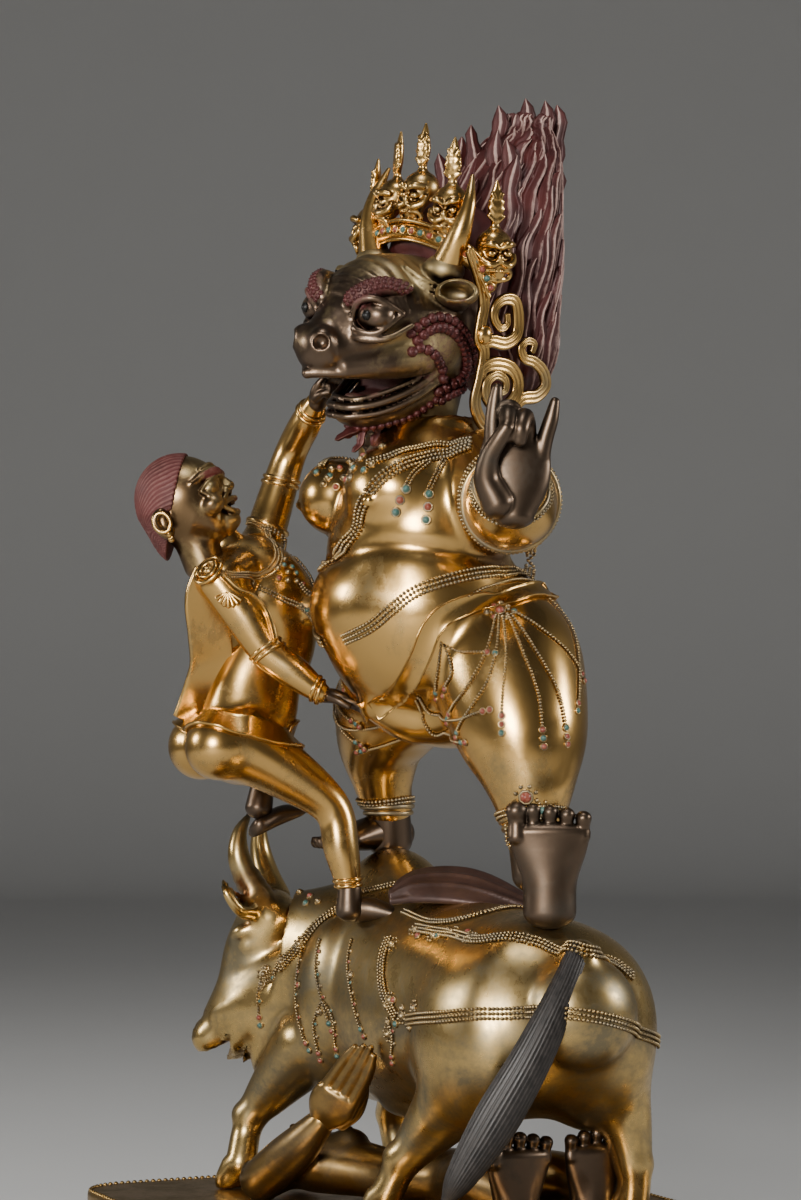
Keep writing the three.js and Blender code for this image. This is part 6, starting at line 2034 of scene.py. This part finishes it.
def build_finishes():
    """Every material, from the settings' own colours."""
    chosen = settings()
    gold, red, bronze = chosen.gilding_colour, chosen.hair_colour, chosen.bronze_colour
    # deep is the painted shade colour that shut-in places go towards.
    worn, deep = (0.32, 0.235, 0.115), (0.13, 0.045, 0.014)
    patina_and_shade_group()
    dust_group()
    metal("Plinth gilding", shade(gold, 0.6), shade(worn, 0.6), deep, 0.26, 0.46, 0.55)
    metal("Buffalo gilding", (0.56, 0.385, 0.15), (0.23, 0.19, 0.115), deep, 0.22, 0.42, 0.66, 22)
    # Painted shade: the lying figure's gilding is darker than the others', for the shade it lies in under the
    # buffalo.
    metal("Shaded figure gilding", (0.3, 0.19, 0.07), (0.14, 0.1, 0.055), (0.05, 0.025, 0.012), 0.26, 0.46, 0.6)
    metal("Guardian gilding", gold, worn, deep, 0.19, 0.36, 0.42)
    metal("Consort gilding", gold, worn, deep, 0.2, 0.38, 0.45)
    metal("Cord gilding", (0.46, 0.33, 0.155), (0.26, 0.215, 0.145), (0.08, 0.048, 0.022), 0.28, 0.5, 0.7, 60)
    metal("Horn gilding", gold, worn, deep, 0.2, 0.4, 0.45)
    metal("Crown gilding", gold, worn, shade(deep, 0.5), 0.2, 0.4, 0.5)
    metal("Dark bronze", bronze, (0.085, 0.068, 0.052), (0.025, 0.017, 0.012), 0.33, 0.5, 0.5)
    metal("Face bronze", shade(bronze, 1.25), (0.33, 0.25, 0.125), (0.03, 0.014, 0.009), 0.31, 0.48, 0.38, 36,
          paint=(0.07, 0.013, 0.011), paint_worn=(0.14, 0.065, 0.048))
    metal("Consort face", (0.19, 0.12, 0.06), (0.36, 0.265, 0.125), (0.045, 0.018, 0.01), 0.27, 0.45, 0.42,
          50,
          paint=(0.1, 0.016, 0.012), paint_worn=(0.17, 0.07, 0.05))
    # The second colour of each pigment is the pale of its ridges: rubbed pigment and a painted highlight.
    pigment("Consort red", shade(red, 1.05), (0.2, 0.09, 0.075), 0.6, 0.15)
    pigment("Hair red", shade(red, 0.8), (0.44, 0.29, 0.25), 0.5, 0.25)
    pigment("Head red", shade(red, 0.85), (0.2, 0.09, 0.07), 0.48, 0.3)
    pigment("Saddle red", (0.075, 0.04, 0.032), (0.25, 0.18, 0.14), 0.42, 0.4)
    pigment("Dark iron", (0.01, 0.009, 0.008), (0.045, 0.037, 0.033), 0.42, 0.3)
    stone_finish("Coral", (0.2, 0.035, 0.02), (0.3, 0.1, 0.06))
    stone_finish("Turquoise", (0.035, 0.105, 0.09), (0.1, 0.17, 0.14))
    plain_finish("Pale floor", chosen.floor_colour, 0.8)


# The add-on
def colour_setting(name, text, default):
    return bpy.props.FloatVectorProperty(name=name, description=text, default=default, size=3, min=0, max=1,
                                         subtype="COLOR")


class GuardianSettings(bpy.types.PropertyGroup):
    coarseness: bpy.props.FloatProperty(
        name="Coarseness", description="Grid step of every modelled skin, as a share of its own step",
        default=1.0, min=0.7, max=4.0, subtype="FACTOR")
    bead_size: bpy.props.FloatProperty(
        name="Bead size", description="Size of the beads on the cords, as a share of the statue's own",
        default=1.0, min=0.5, max=2.0, subtype="FACTOR")
    stone_size: bpy.props.FloatProperty(
        name="Stone size", description="Size of the set stones, as a share of the statue's own",
        default=1.0, min=0.5, max=2.0, subtype="FACTOR")
    gilding_colour: colour_setting("Gilding", "Colour of the polished gilding", (0.62, 0.38, 0.125))
    bronze_colour: colour_setting("Dark bronze", "Colour of the bare dark bronze", (0.115, 0.08, 0.055))
    hair_colour: colour_setting("Red pigment", "Colour of the pigment on the hair", (0.1, 0.018, 0.016))
    floor_colour: colour_setting("Floor", "Colour of the floor and the wall", (0.6, 0.6, 0.59))
    surround_colour: colour_setting("Surroundings", "Colour of the room that the metal mirrors",
                                    (0.045, 0.045, 0.05))
    lamp_power: bpy.props.FloatProperty(
        name="Lamp power", description="Power of the key lamp; the others follow it",
        default=52.0, min=0.0, unit="POWER")
    camera_lens: bpy.props.FloatProperty(
        name="Lens", description="Focal length of the camera", default=LENS, min=20.0, unit="CAMERA")


class GUARDIAN_OT_finishes(bpy.types.Operator):
    """Build the materials"""
    bl_idname = "guardian.finishes"
    bl_label = "Finishes"

    def execute(self, context):
        build_finishes()
        return {"FINISHED"}


class GUARDIAN_OT_plinth(bpy.types.Operator):
    """Build the petalled plinth"""
    bl_idname = "guardian.plinth"
    bl_label = "Plinth"

    def execute(self, context):
        build_plinth()
        return {"FINISHED"}


class GUARDIAN_OT_buffalo(bpy.types.Operator):
    """Build the buffalo with its harness"""
    bl_idname = "guardian.buffalo"
    bl_label = "Buffalo and harness"

    def execute(self, context):
        build_buffalo()
        return {"FINISHED"}


class GUARDIAN_OT_tail(bpy.types.Operator):
    """Build the buffalo's tail"""
    bl_idname = "guardian.tail"
    bl_label = "Tail"

    def execute(self, context):
        build_tail()
        return {"FINISHED"}


class GUARDIAN_OT_hide(bpy.types.Operator):
    """Build the hide over the buffalo's back"""
    bl_idname = "guardian.hide"
    bl_label = "Saddle hide"

    def execute(self, context):
        build_hide()
        return {"FINISHED"}


class GUARDIAN_OT_lying_figure(bpy.types.Operator):
    """Build the figure that lies under the buffalo"""
    bl_idname = "guardian.lying_figure"
    bl_label = "Lying figure"

    def execute(self, context):
        build_lying_figure()
        return {"FINISHED"}


class GUARDIAN_OT_body(bpy.types.Operator):
    """Build the guardian's body with its cords and stones"""
    bl_idname = "guardian.body"
    bl_label = "Guardian's body"

    def execute(self, context):
        build_guardian()
        return {"FINISHED"}


class GUARDIAN_OT_hands_and_feet(bpy.types.Operator):
    """Build the guardian's hands and feet"""
    bl_idname = "guardian.hands_and_feet"
    bl_label = "Guardian's hands and feet"

    def execute(self, context):
        build_guardian_limbs()
        return {"FINISHED"}


class GUARDIAN_OT_head(bpy.types.Operator):
    """Build the guardian's bull head"""
    bl_idname = "guardian.head"
    bl_label = "Guardian's head"

    def execute(self, context):
        build_guardian_head()
        return {"FINISHED"}


class GUARDIAN_OT_horns(bpy.types.Operator):
    """Build both horns"""
    bl_idname = "guardian.horns"
    bl_label = "Horns"

    def execute(self, context):
        build_horns()
        return {"FINISHED"}


class GUARDIAN_OT_hair(bpy.types.Operator):
    """Build the flame of hair"""
    bl_idname = "guardian.hair"
    bl_label = "Hair"

    def execute(self, context):
        build_hair()
        return {"FINISHED"}


class GUARDIAN_OT_crown(bpy.types.Operator):
    """Build the crown of skulls"""
    bl_idname = "guardian.crown"
    bl_label = "Diadem"

    def execute(self, context):
        build_crown()
        return {"FINISHED"}


class GUARDIAN_OT_ribbons(bpy.types.Operator):
    """Build the ribbon scrolls beside the ears"""
    bl_idname = "guardian.ribbons"
    bl_label = "Ribbons"

    def execute(self, context):
        build_ribbons()
        return {"FINISHED"}


class GUARDIAN_OT_consort(bpy.types.Operator):
    """Build the consort's body with its collar and cords"""
    bl_idname = "guardian.consort"
    bl_label = "Consort's body"

    def execute(self, context):
        build_consort()
        return {"FINISHED"}


class GUARDIAN_OT_consort_limbs(bpy.types.Operator):
    """Build the consort's hands and feet"""
    bl_idname = "guardian.consort_limbs"
    bl_label = "Consort's hands and feet"

    def execute(self, context):
        build_consort_limbs()
        return {"FINISHED"}


class GUARDIAN_OT_consort_head(bpy.types.Operator):
    """Build the consort's head and hair"""
    bl_idname = "guardian.consort_head"
    bl_label = "Consort's head"

    def execute(self, context):
        build_consort_head()
        return {"FINISHED"}


class GUARDIAN_OT_scarf(bpy.types.Operator):
    """Build the consort's scarf and hip band"""
    bl_idname = "guardian.scarf"
    bl_label = "Scarf"

    def execute(self, context):
        build_scarf()
        return {"FINISHED"}


class GUARDIAN_OT_stage(bpy.types.Operator):
    """Build the floor, the lamps and the camera"""
    bl_idname = "guardian.stage"
    bl_label = "Stage"

    def execute(self, context):
        build_stage()
        return {"FINISHED"}


OPERATORS = (
    GUARDIAN_OT_finishes, GUARDIAN_OT_plinth, GUARDIAN_OT_buffalo, GUARDIAN_OT_tail, GUARDIAN_OT_hide,
    GUARDIAN_OT_lying_figure, GUARDIAN_OT_body, GUARDIAN_OT_hands_and_feet, GUARDIAN_OT_head,
    GUARDIAN_OT_horns,
    GUARDIAN_OT_hair, GUARDIAN_OT_crown, GUARDIAN_OT_ribbons, GUARDIAN_OT_consort, GUARDIAN_OT_consort_limbs,
    GUARDIAN_OT_consort_head, GUARDIAN_OT_scarf, GUARDIAN_OT_stage,
)


class GUARDIAN_PT_panel(bpy.types.Panel):
    """Lists the settings and the operators in the order in which they run"""
    bl_idname = "GUARDIAN_PT_panel"
    bl_label = "Guardian on a Buffalo"
    bl_space_type = "VIEW_3D"
    bl_region_type = "UI"
    bl_category = "Guardian"

    def draw(self, context):
        chosen = context.scene.guardian_settings
        for name in GuardianSettings.__annotations__:
            self.layout.prop(chosen, name)
        for made in OPERATORS:
            self.layout.operator(made.bl_idname)


CLASSES = (GuardianSettings, *OPERATORS, GUARDIAN_PT_panel)


def register():
    for made in CLASSES:
        bpy.utils.register_class(made)
    bpy.types.Scene.guardian_settings = bpy.props.PointerProperty(type=GuardianSettings)


def unregister():
    del bpy.types.Scene.guardian_settings
    for made in reversed(CLASSES):
        bpy.utils.unregister_class(made)


def main():
    register()
    bpy.ops.guardian.finishes()
    bpy.ops.guardian.plinth()
    bpy.ops.guardian.buffalo()
    bpy.ops.guardian.tail()
    bpy.ops.guardian.hide()
    bpy.ops.guardian.lying_figure()
    bpy.ops.guardian.body()
    bpy.ops.guardian.hands_and_feet()
    bpy.ops.guardian.head()
    bpy.ops.guardian.horns()
    bpy.ops.guardian.hair()
    bpy.ops.guardian.crown()
    bpy.ops.guardian.ribbons()
    bpy.ops.guardian.consort()
    bpy.ops.guardian.consort_limbs()
    bpy.ops.guardian.consort_head()
    bpy.ops.guardian.scarf()
    bpy.ops.guardian.stage()


if __name__ == "__main__":
    main()
